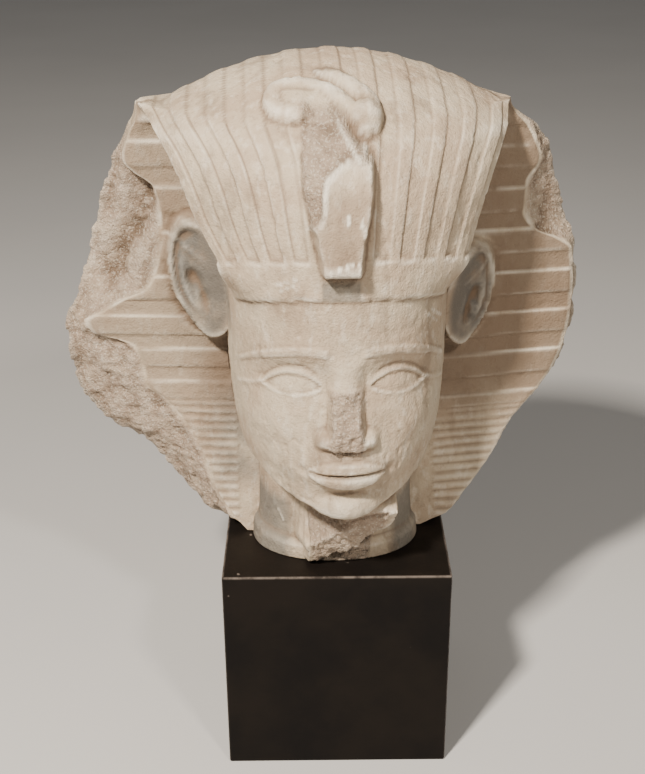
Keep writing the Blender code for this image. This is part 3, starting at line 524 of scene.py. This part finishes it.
def coil(points, path):
    """Relief of one turn of the cobra's body: a rod laid on the dome along a path of (x, height) pairs."""
    path = np.array(path, float)
    length = np.concatenate([[0], np.cumsum(np.hypot(*np.diff(path, axis=0).T))])
    at = np.linspace(0, length[-1], 30)
    x, z = (curve(at, np.column_stack([length, path[:, n]])) for n in (0, 1))
    spine = np.stack([x, dome_depth(x, z), z], -1)
    nearest = np.full(points.shape[:-1], np.inf)
    for start, end in zip(spine[:-1], spine[1:]):
        nearest = np.minimum(nearest, from_stroke(points, start, end))
    return np.sqrt(np.clip(1 - (nearest / COIL_RADIUS) ** 2, 0, 1))


def cobra_hood(points):
    """How much of the hood covers a point, and its front's reach: flat below, broken above and beside."""
    x, y, z = np.moveaxis(points, -1, 0)
    left, chip = curve(z, HOOD_LEFT), curve(z, HOOD_CHIP)
    inside = between(x, left, curve(z, HOOD_RIGHT), HOOD_SLOPE)
    inside = inside * smooth((z - HOOD_FOOT) / HOOD_SLOPE + 0.5) * smooth((HOOD_HEAD - z) / 5)
    beside = (chip - x) / np.maximum(chip - left, 1.5)
    lost = smooth(beside / 0.1) * (2.4 + broken_stone(points, 1.6, 41))
    lost += (HOOD_PROUD - 3.0) * np.clip(beside, 0, 1)
    front = dome_depth(np.zeros_like(z), z) - HOOD_PROUD
    return inside, np.clip(y - front - lost, 0, None) * inside


def cobra_body(points):
    """The two turns of the body, the knot where they meet, and the worn stone that fills the left turn."""
    x, y, z = np.moveaxis(points, -1, 0)
    turns = np.maximum(coil(points, COIL_LEFT), coil(points, COIL_RIGHT) * smooth((COIL_FADE - z) / 6))
    across, height = KNOT_AT
    depth = dome_depth(np.array(across), np.array(height))
    apart = np.sqrt((x - across) ** 2 + (y - depth) ** 2 + (z - height) ** 2)
    knot = KNOT_RISE * np.sqrt(np.clip(1 - (apart / KNOT_RADIUS) ** 2, 0, 1))
    fill = COIL_FILL * between(x, -24, -4, 5) * between(z, 198, 206, 4)
    worn = broken_stone(points, 1.0, 45) * between(x, -27, 2, 4) * between(z, 190, 203, 4)
    return np.maximum(np.maximum(COIL_RISE * turns, fill), knot) + worn


def beard_root(points):
    """Forward reach of the beard's root under the chin: its broken face, and its grooved side by the neck."""
    x, y, z = np.moveaxis(points, -1, 0)
    left, right = curve(z, ROOT_LEFT), curve(z, ROOT_RIGHT)
    side = np.clip((x - ROOT_SIDE) / (left - ROOT_SIDE), 0, 1)
    inside = smooth((right - x) / 2 + 0.5) * smooth((41 - z) / 5)
    inside *= np.where(z < 9, smooth((x - left) / 2 + 0.5), side)
    front = curve(z, ROOT_DEPTH) + broken_stone(points, 1.1, 51) * smooth((x - left) / 2 + 0.5)
    return np.clip(y - front, 0, None) * inside


def carve(points, zone, share):
    """The carved head: relief along the surface's own direction, and forward reach of what stands out."""
    x, y, z = np.moveaxis(points, -1, 0)
    far, tilted, crown = np.abs(x), tilted_height(points), on_crown(points)
    body = ~crown * (1 - smooth((z - CORNER + 10) / 10))
    front = zone == FACE
    hood, hood_reach = cobra_hood(points)
    hood = hood * (front | crown) * (y < 0)
    on_dome = np.where(crown, smooth((45 - y) / 25), front * smooth(tilted - BAND_TOP + 0.5)) * (1 - hood)
    relief = pleats(points, share) * on_dome
    on_brow = ~crown * np.where(zone == FOLD, smooth((-22 - y) / 10), front)
    relief += BAND_STEP * between(tilted, BAND_LOW, BAND_TOP, 1.2) * on_brow
    listening = np.where(x > 0, ear(RIGHT, far, z), ear(LEFT, far, z)) * body
    relief += stripes(points) * (zone == WING) * body * smooth((far - 44) / 3) * smooth(1 - listening / 2)
    relief += back_relief(points) * (zone == BACK) * body
    skin = (front | (zone == FOLD)) * ~crown * smooth((BAND_LOW - tilted) / 2 + 0.5) * smooth((z - 28) / 8)
    relief += (eyes(far, tilted) + mouth(far, tilted) + cheeks(far, tilted)) * skin
    relief += cobra_body(points) * (front | crown) * (y < 0) * (1 - hood)
    sound = side_curve(x, z, WING_SOUND)
    rough = broken_stone(points, 2.4, 61) - 1.2
    rough -= 5.5 * hill((x - curve(z, SCOOP)) / 11) * between(z, 112, 167, 14)
    relief += (zone == EDGE) * body * np.clip((far - sound) / 4, 0, 1) * rough
    reach = nose(far, tilted, points) * skin
    in_fold = np.clip(y - curve(z, WING_DEPTH) + listening, 0, None) * body
    reach += np.where(zone == FOLD, in_fold, (zone == WING) * listening)
    reach += hood_reach * hood + beard_root(points) * front
    moved = grid_normals(points) * relief[..., None]
    moved[..., 1] -= reach
    carved = points + moved * smooth(z / 2.5)[..., None]
    carved[0, :, 2] = 0.0
    return carved


def smoothed(values, times):
    """The grid's values averaged with their four neighbours, as many times as given."""
    for _ in range(times):
        rows = np.concatenate([values[:1], values, values[-1:]])
        around = np.roll(values, 1, 1) + np.roll(values, -1, 1)
        values = 0.5 * values + 0.125 * (around + rows[:-2] + rows[2:])
    return values


def stood_out(carved, times):
    """How far each point stands out of its smoothed neighbourhood, along the surface's direction."""
    return ((carved - smoothed(carved, times)) * grid_normals(carved)).sum(-1)


def scratches_and_highlights(points, zone):
    """Share from 0 to 1 of pale scratches and drips, as short strokes, of chips at the hood's foot, and of
    pale lines along the hood's chip edge and crest that are partly chipped stone and partly painted highlight.
    """
    x, y, z = np.moveaxis(points, -1, 0)
    total = np.zeros(x.shape)
    for start, end, half in SCRATCHES:
        total = np.maximum(total, smooth((half - from_stroke(points[..., ::2], start, end)) / 0.5 + 0.5))
    # pale along the hood's chip edge and crest: partly chipped stone, partly painted highlight
    crest = hill((x - curve(z, HOOD_CHIP)) / 1.3) * between(z, 161, 190, 3)
    ridge = hill((x - curve(z, HOOD_CREST)) / 1.2) * between(z, 185, 200, 3)
    chips = smooth((noise(points, 1.6, 77) - 0.15) / 0.2)
    chips = chips * between(x, -7, 4.5, 1) * between(z, 146.3, 151, 1.5)
    return np.maximum.reduce([total, crest, ridge, chips]) * (zone == FACE) * (y < 0)


def fine_relief(points, zone, shares):
    """Relief too fine for the solids: the stone's grain, pits and scratches, by layered noise."""
    x, z, broken = points[..., 0], points[..., 2], shares["broken"]
    grain = 0.20 * noise(points, 2.6, 71) + 0.13 * noise(points, 1.3, 72)
    pits = -0.5 * smooth((noise(points, 3.1, 73) - 0.6) / 0.2)
    granules = 0.7 * noise(points, 2.4, 74) + 0.5 * noise(points, 1.2, 75)
    fan = np.sin(2.4 * (x + 12) + 0.5 * (z - 10) * (x + 14) / 9)
    strokes = 0.35 * fan * between(x, -22, -8, 3) * between(z, 12, 32, 4) * (zone == FACE)
    return grain + pits * (1 - broken) + granules * broken + strokes + 0.4 * shares["scratch"]


def broken_share(points, zone):
    """Share from 0 to 1 of broken stone at each point: wing edges, cobra, nose and beard."""
    x, y, z = np.moveaxis(points, -1, 0)
    crown, front = on_crown(points), (zone == FACE) & (y < 0)
    past = np.abs(x) - side_curve(x, z, WING_SOUND)
    edge = (zone == EDGE) * smooth(past / 2.5)
    edge = np.maximum(edge, (zone == BACK) * smooth(past / 4) * smooth((38 - y) / 10))
    hood_edge = np.minimum(curve(z, HOOD_CHIP), curve(z, HOOD_RIGHT))
    hood = between(x, curve(z, HOOD_LEFT), hood_edge, 1.5) * between(z, 152, 192, 3)
    coil_scar = between(x, -16, curve(z, COIL_SCAR), 2) * between(z, 186, 201, 3)
    bridge = between(x, -6.5, 6.5, 2.5) * between(tilted_height(points), 66.5, 96, 3)
    middle, half = 1.5 - 0.06 * (34 - z), 12.0 + 0.16 * np.clip(z, 0, 36)
    beard = between(x, middle - half, middle + half, 2) * smooth((39 - z) / 4)
    share = np.maximum.reduce([hood, bridge, beard]) * front * ~crown
    edge = edge * ~crown * smooth((CORNER - z) / 8)
    return np.maximum.reduce([edge, share, coil_scar * (front | crown) * (y < 0)])


def pleat_shade_lines(points, share, zone):
    """Share from 0 to 1 of the painted shade lines in the grooves beside the pleats."""
    place = pleat_place(points, share)
    line = 0.6 * hill(place / 0.06) + 0.6 * hill((place - 1.0) / 0.06)
    line += hill((place - PLEAT_SHARE - 0.07) / 0.055)
    low = (zone == FACE) * smooth(tilted_height(points) - BAND_TOP)
    return line * np.where(on_crown(points), smooth((45 - points[..., 1]) / 25), low)


def stripe_lines(points, zone):
    """Shares from 0 to 1 of the painted highlight along the top edge of each wide stripe and of the painted
    shadow below it.
    """
    x, height = points[..., 0], waved_height(points)
    place = np.mod(side_curve(x, height, STRIPE_COUNT), 1.0)
    wide = (zone == WING) * smooth((height - by_side(x, RIB_TOP) - 2) / 2)
    wide = wide * smooth((points[..., 2] - 20) / 10)
    return hill((place - 0.045) / 0.03) * wide, hill((place - STRIPE_SHARE - 0.06) / 0.05) * wide


def marks(points, carved, zone, share):
    """Shares from 0 to 1 that colour the stone: worn ridges and painted highlights, painted shade, breaks,
    grey-blue wash with painted shade, and scratches and painted highlights.
    """
    x, y, z = np.moveaxis(points, -1, 0)
    far, face, wing = np.abs(x), zone == FACE, zone == WING
    near_ear = np.where(x > 0, np.hypot(*ear_place(RIGHT, far, z)), np.hypot(*ear_place(LEFT, far, z)))
    off_ear = smooth((near_ear - 0.95) / 0.2)
    ears = (wing | (zone == FOLD)) * smooth((1.05 - near_ear) / 0.35)
    ribs = wing * smooth((62 - far) / 14) * between(z, 22, 84, 14) * (x < 0)
    neck = (face | (zone == FOLD)) * smooth((30 - z) / 8) * smooth((far - 20) / 6)
    # painted shade on the wings beside the dome, where the dome's shadow falls
    beside = wing * smooth((78 - far) / 26) * between(z, 60, 178, 20) * (0.35 + 0.65 * off_ear)
    under_hood = face * (y < 0) * between(x, -9.3, 5.2, 1)
    on_band = under_hood * between(z, 133.5, 141.5, 2)
    # grey-blue wash on the ears, neck, lower left ribs and band under the hood, plus painted shade beside the
    # dome
    wash = np.clip(np.maximum.reduce([0.6 * ribs, 0.7 * neck, 0.95 * ears, 0.3 * beside, 0.6 * on_band]), 0, 1)

    hood = cobra_hood(points)[0] * (y < 0)
    low_hood = hood * between(z, 146, 176, 6)
    body = cobra_body(points) * (x > -30) * (x < 17) * (y < 0) * (z > 188)
    # painted shade lines in the grooves beside the pleats
    pleat = pleat_shade_lines(points, share, zone) * (1 - hood) * smooth(1 - body)
    # painted shadow along the foot of the cobra's coil
    coil_shadow = hill((body - 0.7) / 0.8) * (face | (z > CORNER)) * (body > 0.05)
    # painted highlight along the top of each wing stripe and painted shadow below it
    light, dark = stripe_lines(points, zone)
    low_wing = wing * smooth((z - 10) / 20)
    # painted shade over the lower wings, deeper on the right side, away from the key lamp
    painted_wing_shade = low_wing * by_side(x, WING_PAINTED_SHADE) * smooth((z - 50) / 40 + 0.5) * off_ear
    near, wide = stood_out(carved, 4), stood_out(carved, 30)
    # painted shade, gathered from the pieces below
    hollow = np.maximum.reduce([
        # painted shade in concave hollows and creases, in the grooves beside the pleats and along the coil's
        # foot
        smooth(-near / 0.25 - 0.1) * 0.6 + smooth(-wide / 1.8) * 0.5, 0.85 * pleat, 0.9 * coil_shadow,
        # painted shadow under the hood's foot, painted shade beside the dome and over the wings, and painted
        # shadow below each wing stripe
        0.9 * under_hood * between(z, 141.8, 146.4, 1), 0.95 * beside, painted_wing_shade * (1 - light), dark * (1 - ears),
        # painted shade on the hood's lower half
        0.4 * low_hood])

    broken = broken_share(points, zone)
    rim = low_wing * smooth((far - side_curve(x, z, WING_SOUND) + 6) / 4)
    ridge = (smooth(near / 0.3 - 0.15) * 0.5 + smooth(wide / 2.0) * 0.35) * (1 - 0.7 * broken)
    ridge *= 1 - np.clip(0.6 * wash + 0.5 * beside + 0.75 * rim + 0.35 * painted_wing_shade + 0.5 * low_hood, 0, 1)
    # pale wear on ridges and edges, plus the painted highlight along the top of each wing stripe
    worn = np.maximum(ridge, 0.5 * light * (1 - ears))
    return {"worn": worn, "hollow": hollow, "broken": broken, "wash": wash, "scratch": scratches_and_highlights(points, zone)}


def grid_mesh(name, carved, settings):
    """Mesh of the closed grid: quads between rows, and fans to a pole above and a middle point below."""
    rows, columns = carved.shape[:2]
    ends = np.array([carved[-1].mean(axis=0), (0.0, 0.0, 0.0)])
    vertices = np.concatenate([carved.reshape(-1, 3), ends]) * (settings.height / TOP)
    cos, sin = math.cos(settings.turn), math.sin(settings.turn)
    vertices[:, :2] = vertices[:, :2] @ [[cos, sin], [-sin, cos]] + (settings.shift, 0.0)
    vertices[:, 2] += HEAD_FOOT
    here = np.arange(columns)
    after = np.roll(here, -1)
    start = np.arange(rows - 1)[:, None] * columns
    quads = np.stack([start + here, start + after, start + columns + after, start + columns + here], -1)
    last = (rows - 1) * columns
    upper = np.stack([here + last, after + last, np.full(columns, rows * columns)], -1)
    lower = np.stack([after, here, np.full(columns, rows * columns + 1)], -1)
    mesh = bpy.data.meshes.new(name)
    mesh.from_pydata(vertices.tolist(), [], quads.reshape(-1, 4).tolist() + upper.tolist() + lower.tolist())
    mesh.shade_smooth()
    mesh.update()
    return mesh


class Finish:
    """A Principled material as it is put together, over the object's own coordinates."""

    def __init__(self, name, roughness):
        self.material = bpy.data.materials.new(name)
        self.material.use_nodes = True
        self.tree = self.material.node_tree
        self.shader = self.tree.nodes["Principled BSDF"]
        self.shader.inputs["Roughness"].default_value = roughness
        self.place = self.node("TexCoord", "Object", {})

    def node(self, kind, output, sockets, **settings):
        """One output of a new node, with its settings made and its sockets linked or set."""
        node = self.tree.nodes.new("ShaderNode" + kind)
        for name, value in settings.items():
            setattr(node, name, value)
        for socket, value in sockets.items():
            if isinstance(value, bpy.types.NodeSocket):
                self.tree.links.new(value, node.inputs[socket])
            else:
                node.inputs[socket].default_value = value
        return node.outputs[output]

    def shade(self, socket, value):
        """Link a value to one of the shader's sockets."""
        self.tree.links.new(value, self.shader.inputs[socket])

    def stored(self, name):
        """A value stored on the mesh's points."""
        return self.node("Attribute", "Fac", {}, attribute_name=name)

    def maths(self, operation, first, second):
        """Arithmetic on two sockets, or on a socket and a number."""
        return self.node("Math", "Value", {0: first, 1: second}, operation=operation)

    def times(self, first, second):
        """The product of two sockets, or of a socket and a number."""
        return self.maths("MULTIPLY", first, second)

    def graded(self, value, low, high, least=0.0, most=1.0):
        """A value brought smoothly from between low and high to between least and most."""
        sockets = {"Value": value, "From Min": low, "From Max": high, "To Min": least, "To Max": most}
        return self.node("MapRange", "Result", sockets, interpolation_type="SMOOTHSTEP")

    def spots(self, scale, detail, rough, stretch=None):
        """Noise from 0 to 1 over the object's own coordinates."""
        place = self.place
        if stretch:
            place = self.node("Mapping", "Vector", {"Vector": place, "Scale": stretch})
        sockets = {"Vector": place, "Scale": scale, "Detail": detail, "Roughness": rough}
        return self.node("TexNoise", "Fac", sockets)

    def patches(self, scale, detail, rough, low, high, least=0.0, most=1.0, stretch=None):
        """Noise brought from between low and high to between least and most."""
        return self.graded(self.spots(scale, detail, rough, stretch), low, high, least, most)

    def blended(self, share, first, second):
        """Two colours, or sockets of colour, blended by a socket's share."""
        first, second = (value if isinstance(value, bpy.types.NodeSocket) else (*value, 1.0)
                         for value in (first, second))
        return self.node("Mix", 2, {"Factor": share, 6: first, 7: second}, data_type="RGBA")

    def bumped(self, height, distance):
        """Fine bumps of a socket's height, in metres."""
        sockets = {"Height": height, "Strength": 1.0, "Distance": distance}
        self.shade("Normal", self.node("Bump", "Normal", sockets))


def stone_material(look):
    """Weathered cast stone: cream and pinkish patches, pale worn ridges and painted highlights, painted brown
    shade, and a grey-blue wash with painted shade.
    """
    stone = Finish("weathered cast stone", look.roughness)
    worn, hollow, broken, wash, scratch = map(stone.stored, ("worn", "hollow", "broken", "wash", "scratch"))
    rubbed = stone.patches(90, 4, 0.6, 0.3, 0.6)
    layers = (
        (look.pink, stone.patches(26, 5, 0.6, 0.40, 0.62)),
        (look.stain_and_shade, stone.patches(60, 4, 0.6, 0.50, 0.70, most=0.5, stretch=(1.0, 1.0, 0.35))),
        (look.pale, stone.patches(260, 4, 0.65, 0.50, 0.70, most=0.3, stretch=(1.0, 1.0, 0.45))),
        (look.stain_and_shade, stone.patches(480, 3, 0.7, 0.54, 0.74, most=0.4)),
        (look.wash, stone.times(wash, stone.patches(55, 4, 0.55, 0.3, 0.55, least=0.45))),
        (look.broken, stone.times(broken, stone.patches(140, 4, 0.6, 0.35, 0.6, least=0.6))),
        # painted brown shade in hollows, grooves, under the hood and over the wings
        (look.stain_and_shade, stone.times(hollow, 0.9)),
        (look.pale, stone.times(broken, stone.patches(900, 2, 0.6, 0.50, 0.68, most=0.35))),
        # pale on worn ridges, and painted highlights along the wing stripes
        (look.pale, stone.times(worn, rubbed)),
        # pale scratches and chips, and painted highlights along the hood's crest
        (look.pale, stone.times(scratch, rubbed)),
    )
    colour = look.cream
    for shade, share in layers:
        colour = stone.blended(share, colour, shade)
    stone.shade("Base Color", colour)
    depth = stone.maths("ADD", stone.times(broken, 1.6), 0.4)
    coarse = stone.times(stone.spots(420, 4, 0.7), depth)
    fine = stone.times(stone.spots(1100, 2, 0.6), 0.35)
    stone.bumped(stone.maths("ADD", coarse, fine), look.grain)
    return stone.material


def lacquer_material(look, low, high):
    """Satin black lacquer: soft patches of sheen, pale wear along the edges, and a few pale specks."""
    lacquer = Finish("black lacquer", look.roughness)
    x, y, z = (lacquer.node("SeparateXYZ", axis, {"Vector": lacquer.place}) for axis in "XYZ")
    half = (high.x - low.x) / 2
    near = [lacquer.maths("SUBTRACT", half, lacquer.maths("ABSOLUTE", value, 0.0)) for value in (x, y)]
    top = lacquer.maths("SUBTRACT", high.z, z)
    along = lacquer.maths("MINIMUM", *(lacquer.maths("MAXIMUM", top, value) for value in near))
    upright = lacquer.maths("ADD", lacquer.maths("MAXIMUM", *near), look.wear * 0.4)
    rubbed = lacquer.graded(lacquer.maths("MINIMUM", along, upright), 0.0, look.wear, 1.0, 0.0)
    rubbed = lacquer.times(rubbed, lacquer.patches(160, 4, 0.6, 0.35, 0.6, least=0.25))
    specks = lacquer.patches(240, 1, 0.4, 0.80, 0.84, most=0.6)
    colour = lacquer.blended(lacquer.patches(20, 5, 0.6, 0.35, 0.65), look.colour, look.brown)
    pale = lacquer.maths("MAXIMUM", rubbed, specks)
    lacquer.shade("Base Color", lacquer.blended(pale, colour, look.rubbed))
    uneven = lacquer.patches(45, 5, 0.65, 0.3, 0.7, look.roughness - 0.06, look.roughness + 0.10)
    lacquer.shade("Roughness", uneven)
    lacquer.shader.inputs["Specular IOR Level"].default_value = look.sheen
    lacquer.bumped(lacquer.spots(420, 3, 0.5), LACQUER_GRAIN)
    return lacquer.material


def floor_material(colour):
    """Pale matt floor with a barely uneven tone."""
    floor = Finish("pale floor", 0.7)
    darker = [0.96 * value for value in colour]
    floor.shade("Base Color", floor.blended(floor.patches(3, 3, 0.5, 0.3, 0.7), colour, darker))
    return floor.material


def placed(name, mesh, material):
    """An object at the origin that shows a mesh in one material."""
    thing = bpy.data.objects.new(name, mesh)
    bpy.context.scene.collection.objects.link(thing)
    mesh.materials.append(material)
    return thing


def soft_lamp(name, power):
    """A square area lamp that faces the statue."""
    place, colour = LAMPS[name]
    lamp = bpy.data.lights.new(name, "AREA")
    lamp.size, lamp.energy, lamp.color = LAMP_SIZE, power, colour
    thing = bpy.data.objects.new(name, lamp)
    thing.location = place
    thing.rotation_euler = (Vector(LAMP_TARGET) - Vector(place)).to_track_quat("-Z", "Y").to_euler()
    bpy.context.scene.collection.objects.link(thing)


def setting(name, description, default, **kind):
    """A number, or a tuple of numbers, that the panel shows."""
    made = bpy.props.FloatVectorProperty if isinstance(default, tuple) else bpy.props.FloatProperty
    return made(name=name, description=description, default=default, **kind)


class StatueHead(bpy.types.PropertyGroup):
    """Place and size of the head."""
    height: setting("Height", "Height of the head on its foot", HEAD_HEIGHT, **LENGTH)
    turn: setting("Turn", "Turn of the head on its block", math.radians(3.0), subtype="ANGLE")
    shift: setting("Shift", "Sideways place of the head on its block", 0.0005, **LENGTH)


class StatueStone(bpy.types.PropertyGroup):
    """Colours and grain of the cast stone."""
    cream: setting("Cream", "Main colour", (0.50, 0.41, 0.295), **COLOUR)
    pink: setting("Pinkish beige", "Colour of the warmer patches", (0.41, 0.31, 0.215), **COLOUR)
    # this colour tints real streaks and specks, and also paints the brown shade in hollows, grooves and over
    # the wings
    stain_and_shade: setting("Stain", "Colour left in hollows and streaks", (0.16, 0.105, 0.065), **COLOUR)
    # this colour paints worn ridges and scratches, and also painted highlights along the wing stripes and the
    # hood's crest
    pale: setting("Worn ridges", "Dry-brushed colour of edges and ridges", (0.76, 0.69, 0.58), **COLOUR)
    broken: setting("Broken stone", "Colour of the broken faces", (0.35, 0.26, 0.19), **COLOUR)
    # this colour paints the grey-blue wash and also the painted shade beside the dome
    wash: setting("Wash", "Grey-blue wash beside the head", (0.095, 0.097, 0.090), **COLOUR)
    roughness: setting("Roughness", "Roughness of the stone", 0.78, **SHARE)
    grain: setting("Grain", "Height of the finest grain", 0.0012, **LENGTH)


class StatueBlock(bpy.types.PropertyGroup):
    """Finish of the block."""
    colour: setting("Black", "Main colour", (0.006, 0.005, 0.0045), **COLOUR)
    brown: setting("Brown", "Warmer patches", (0.010, 0.0075, 0.006), **COLOUR)
    rubbed: setting("Rubbed", "Worn edges", (0.17, 0.14, 0.12), **COLOUR)
    wear: setting("Wear", "Width of the worn edges", 0.0012, **LENGTH)
    sheen: setting("Sheen", "Strength of the lacquer's reflection", 0.08, **SHARE)
    roughness: setting("Roughness", "Roughness of the lacquer", 0.38, **SHARE)


class StatueStage(bpy.types.PropertyGroup):
    """Floor, lamps and camera."""
    floor: setting("Floor", "Colour of the floor", (0.56, 0.545, 0.53), **COLOUR)
    key: setting("Key lamp", "Power of the main lamp in watts", 33.0)
    fill: setting("Fill lamp", "Power of the weaker lamp in watts", 6.0)
    sky: setting("Surroundings", "Strength of the light from all round", 0.16)
    camera: setting("Camera", "Place of the camera", (-0.00816, -0.51145, 0.40713), **LENGTH)
    aim: setting("Aim", "Turn, downward tilt and roll of the camera",
                 (math.radians(0.287), math.radians(24.72), math.radians(-0.354)), subtype="EULER")
    focal: setting("Focal length", "In shares of the picture's height", 1242 / 774)


class STATUE_OT_head(bpy.types.Operator):
    """Carve the head in fine relief and finish it as weathered stone"""
    bl_idname = "statue.head"
    bl_label = "Carve the head"

    def execute(self, context):
        points, zone, share = base_grid()
        carved = carve(points, zone, share)
        shares = marks(points, carved, zone, share)
        fine = fine_relief(points, zone, shares) * smooth(points[..., 2] / 3.0)
        carved = carved + grid_normals(carved) * fine[..., None]
        mesh = grid_mesh("carved_head", carved, context.scene.statue_head)
        for name, values in shares.items():
            ends = [values[-1].mean(), values[0].mean()]
            stored = mesh.attributes.new(name, "FLOAT", "POINT")
            stored.data.foreach_set("value", np.concatenate([values.ravel(), ends]).astype(np.float32))
        head = placed("carved_head", mesh, stone_material(context.scene.statue_stone))
        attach(head, "root")
        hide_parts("head")
        return {"FINISHED"}


class STATUE_OT_block(bpy.types.Operator):
    """Finish the block in worn black lacquer"""
    bl_idname = "statue.block"
    bl_label = "Finish the block"

    def execute(self, context):
        low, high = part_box("block")
        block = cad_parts["block"]
        block.data.materials.clear()
        block.data.materials.append(lacquer_material(context.scene.statue_block, low, high))
        return {"FINISHED"}


class STATUE_OT_stage(bpy.types.Operator):
    """Set the floor, the soft lamps, the surroundings and the camera"""
    bl_idname = "statue.stage"
    bl_label = "Set the stage"

    def execute(self, context):
        scene, look = context.scene, context.scene.statue_stage
        corners = [(FLOOR_REACH * x, FLOOR_REACH * y, 0) for x, y in ((-1, -1), (1, -1), (1, 1), (-1, 1))]
        mesh = bpy.data.meshes.new("floor")
        mesh.from_pydata(corners, [], [(0, 1, 2, 3)])
        placed("floor", mesh, floor_material(look.floor))
        for name in LAMPS:
            soft_lamp(name, getattr(look, name))
        scene.world = bpy.data.worlds.new("surroundings")
        scene.world.use_nodes = True
        sky = scene.world.node_tree.nodes["Background"].inputs
        sky["Color"].default_value, sky["Strength"].default_value = SKY_COLOUR, look.sky
        turn, tilt, roll = look.aim
        facing = Matrix.Rotation(-turn, 4, "Z") @ Matrix.Rotation(math.pi / 2 - tilt, 4, "X")
        camera = bpy.data.objects.new("camera", bpy.data.cameras.new("camera"))
        camera.matrix_world = facing @ Matrix.Rotation(roll, 4, "Z")
        camera.location = look.camera
        camera.data.lens = look.focal * camera.data.sensor_width
        scene.collection.objects.link(camera)
        scene.camera = camera
        return {"FINISHED"}


class STATUE_PT_panel(bpy.types.Panel):
    """Sidebar panel with the statue's steps, sizes and colours"""
    bl_idname = "STATUE_PT_panel"
    bl_label = "Stone head"
    bl_space_type = "VIEW_3D"
    bl_region_type = "UI"
    bl_category = "Statue"

    def draw(self, context):
        for step, group in STEPS:
            box = self.layout.box()
            box.operator(step)
            for name in group:
                settings = getattr(context.scene, name)
                for field in settings.bl_rna.properties.keys():
                    if field not in ("rna_type", "name"):
                        box.prop(settings, field)


STEPS = (("statue.head", ("statue_head", "statue_stone")), ("statue.block", ("statue_block",)),
         ("statue.stage", ("statue_stage",)))
GROUPS = {"statue_head": StatueHead, "statue_stone": StatueStone, "statue_block": StatueBlock,
          "statue_stage": StatueStage}
OPERATORS = (STATUE_OT_head, STATUE_OT_block, STATUE_OT_stage, STATUE_PT_panel)


def register():
    """Register the settings, steps and panel."""
    for name, group in GROUPS.items():
        bpy.utils.register_class(group)
        setattr(bpy.types.Scene, name, bpy.props.PointerProperty(type=group))
    for operator in OPERATORS:
        bpy.utils.register_class(operator)


def unregister():
    """Take the panel, steps and settings away again."""
    for operator in reversed(OPERATORS):
        bpy.utils.unregister_class(operator)
    for name, group in reversed(GROUPS.items()):
        delattr(bpy.types.Scene, name)
        bpy.utils.unregister_class(group)


def main():
    """Make every piece and the stage."""
    register()
    bpy.ops.statue.head()
    bpy.ops.statue.block()
    bpy.ops.statue.stage()


if __name__ == "__main__":
    main()
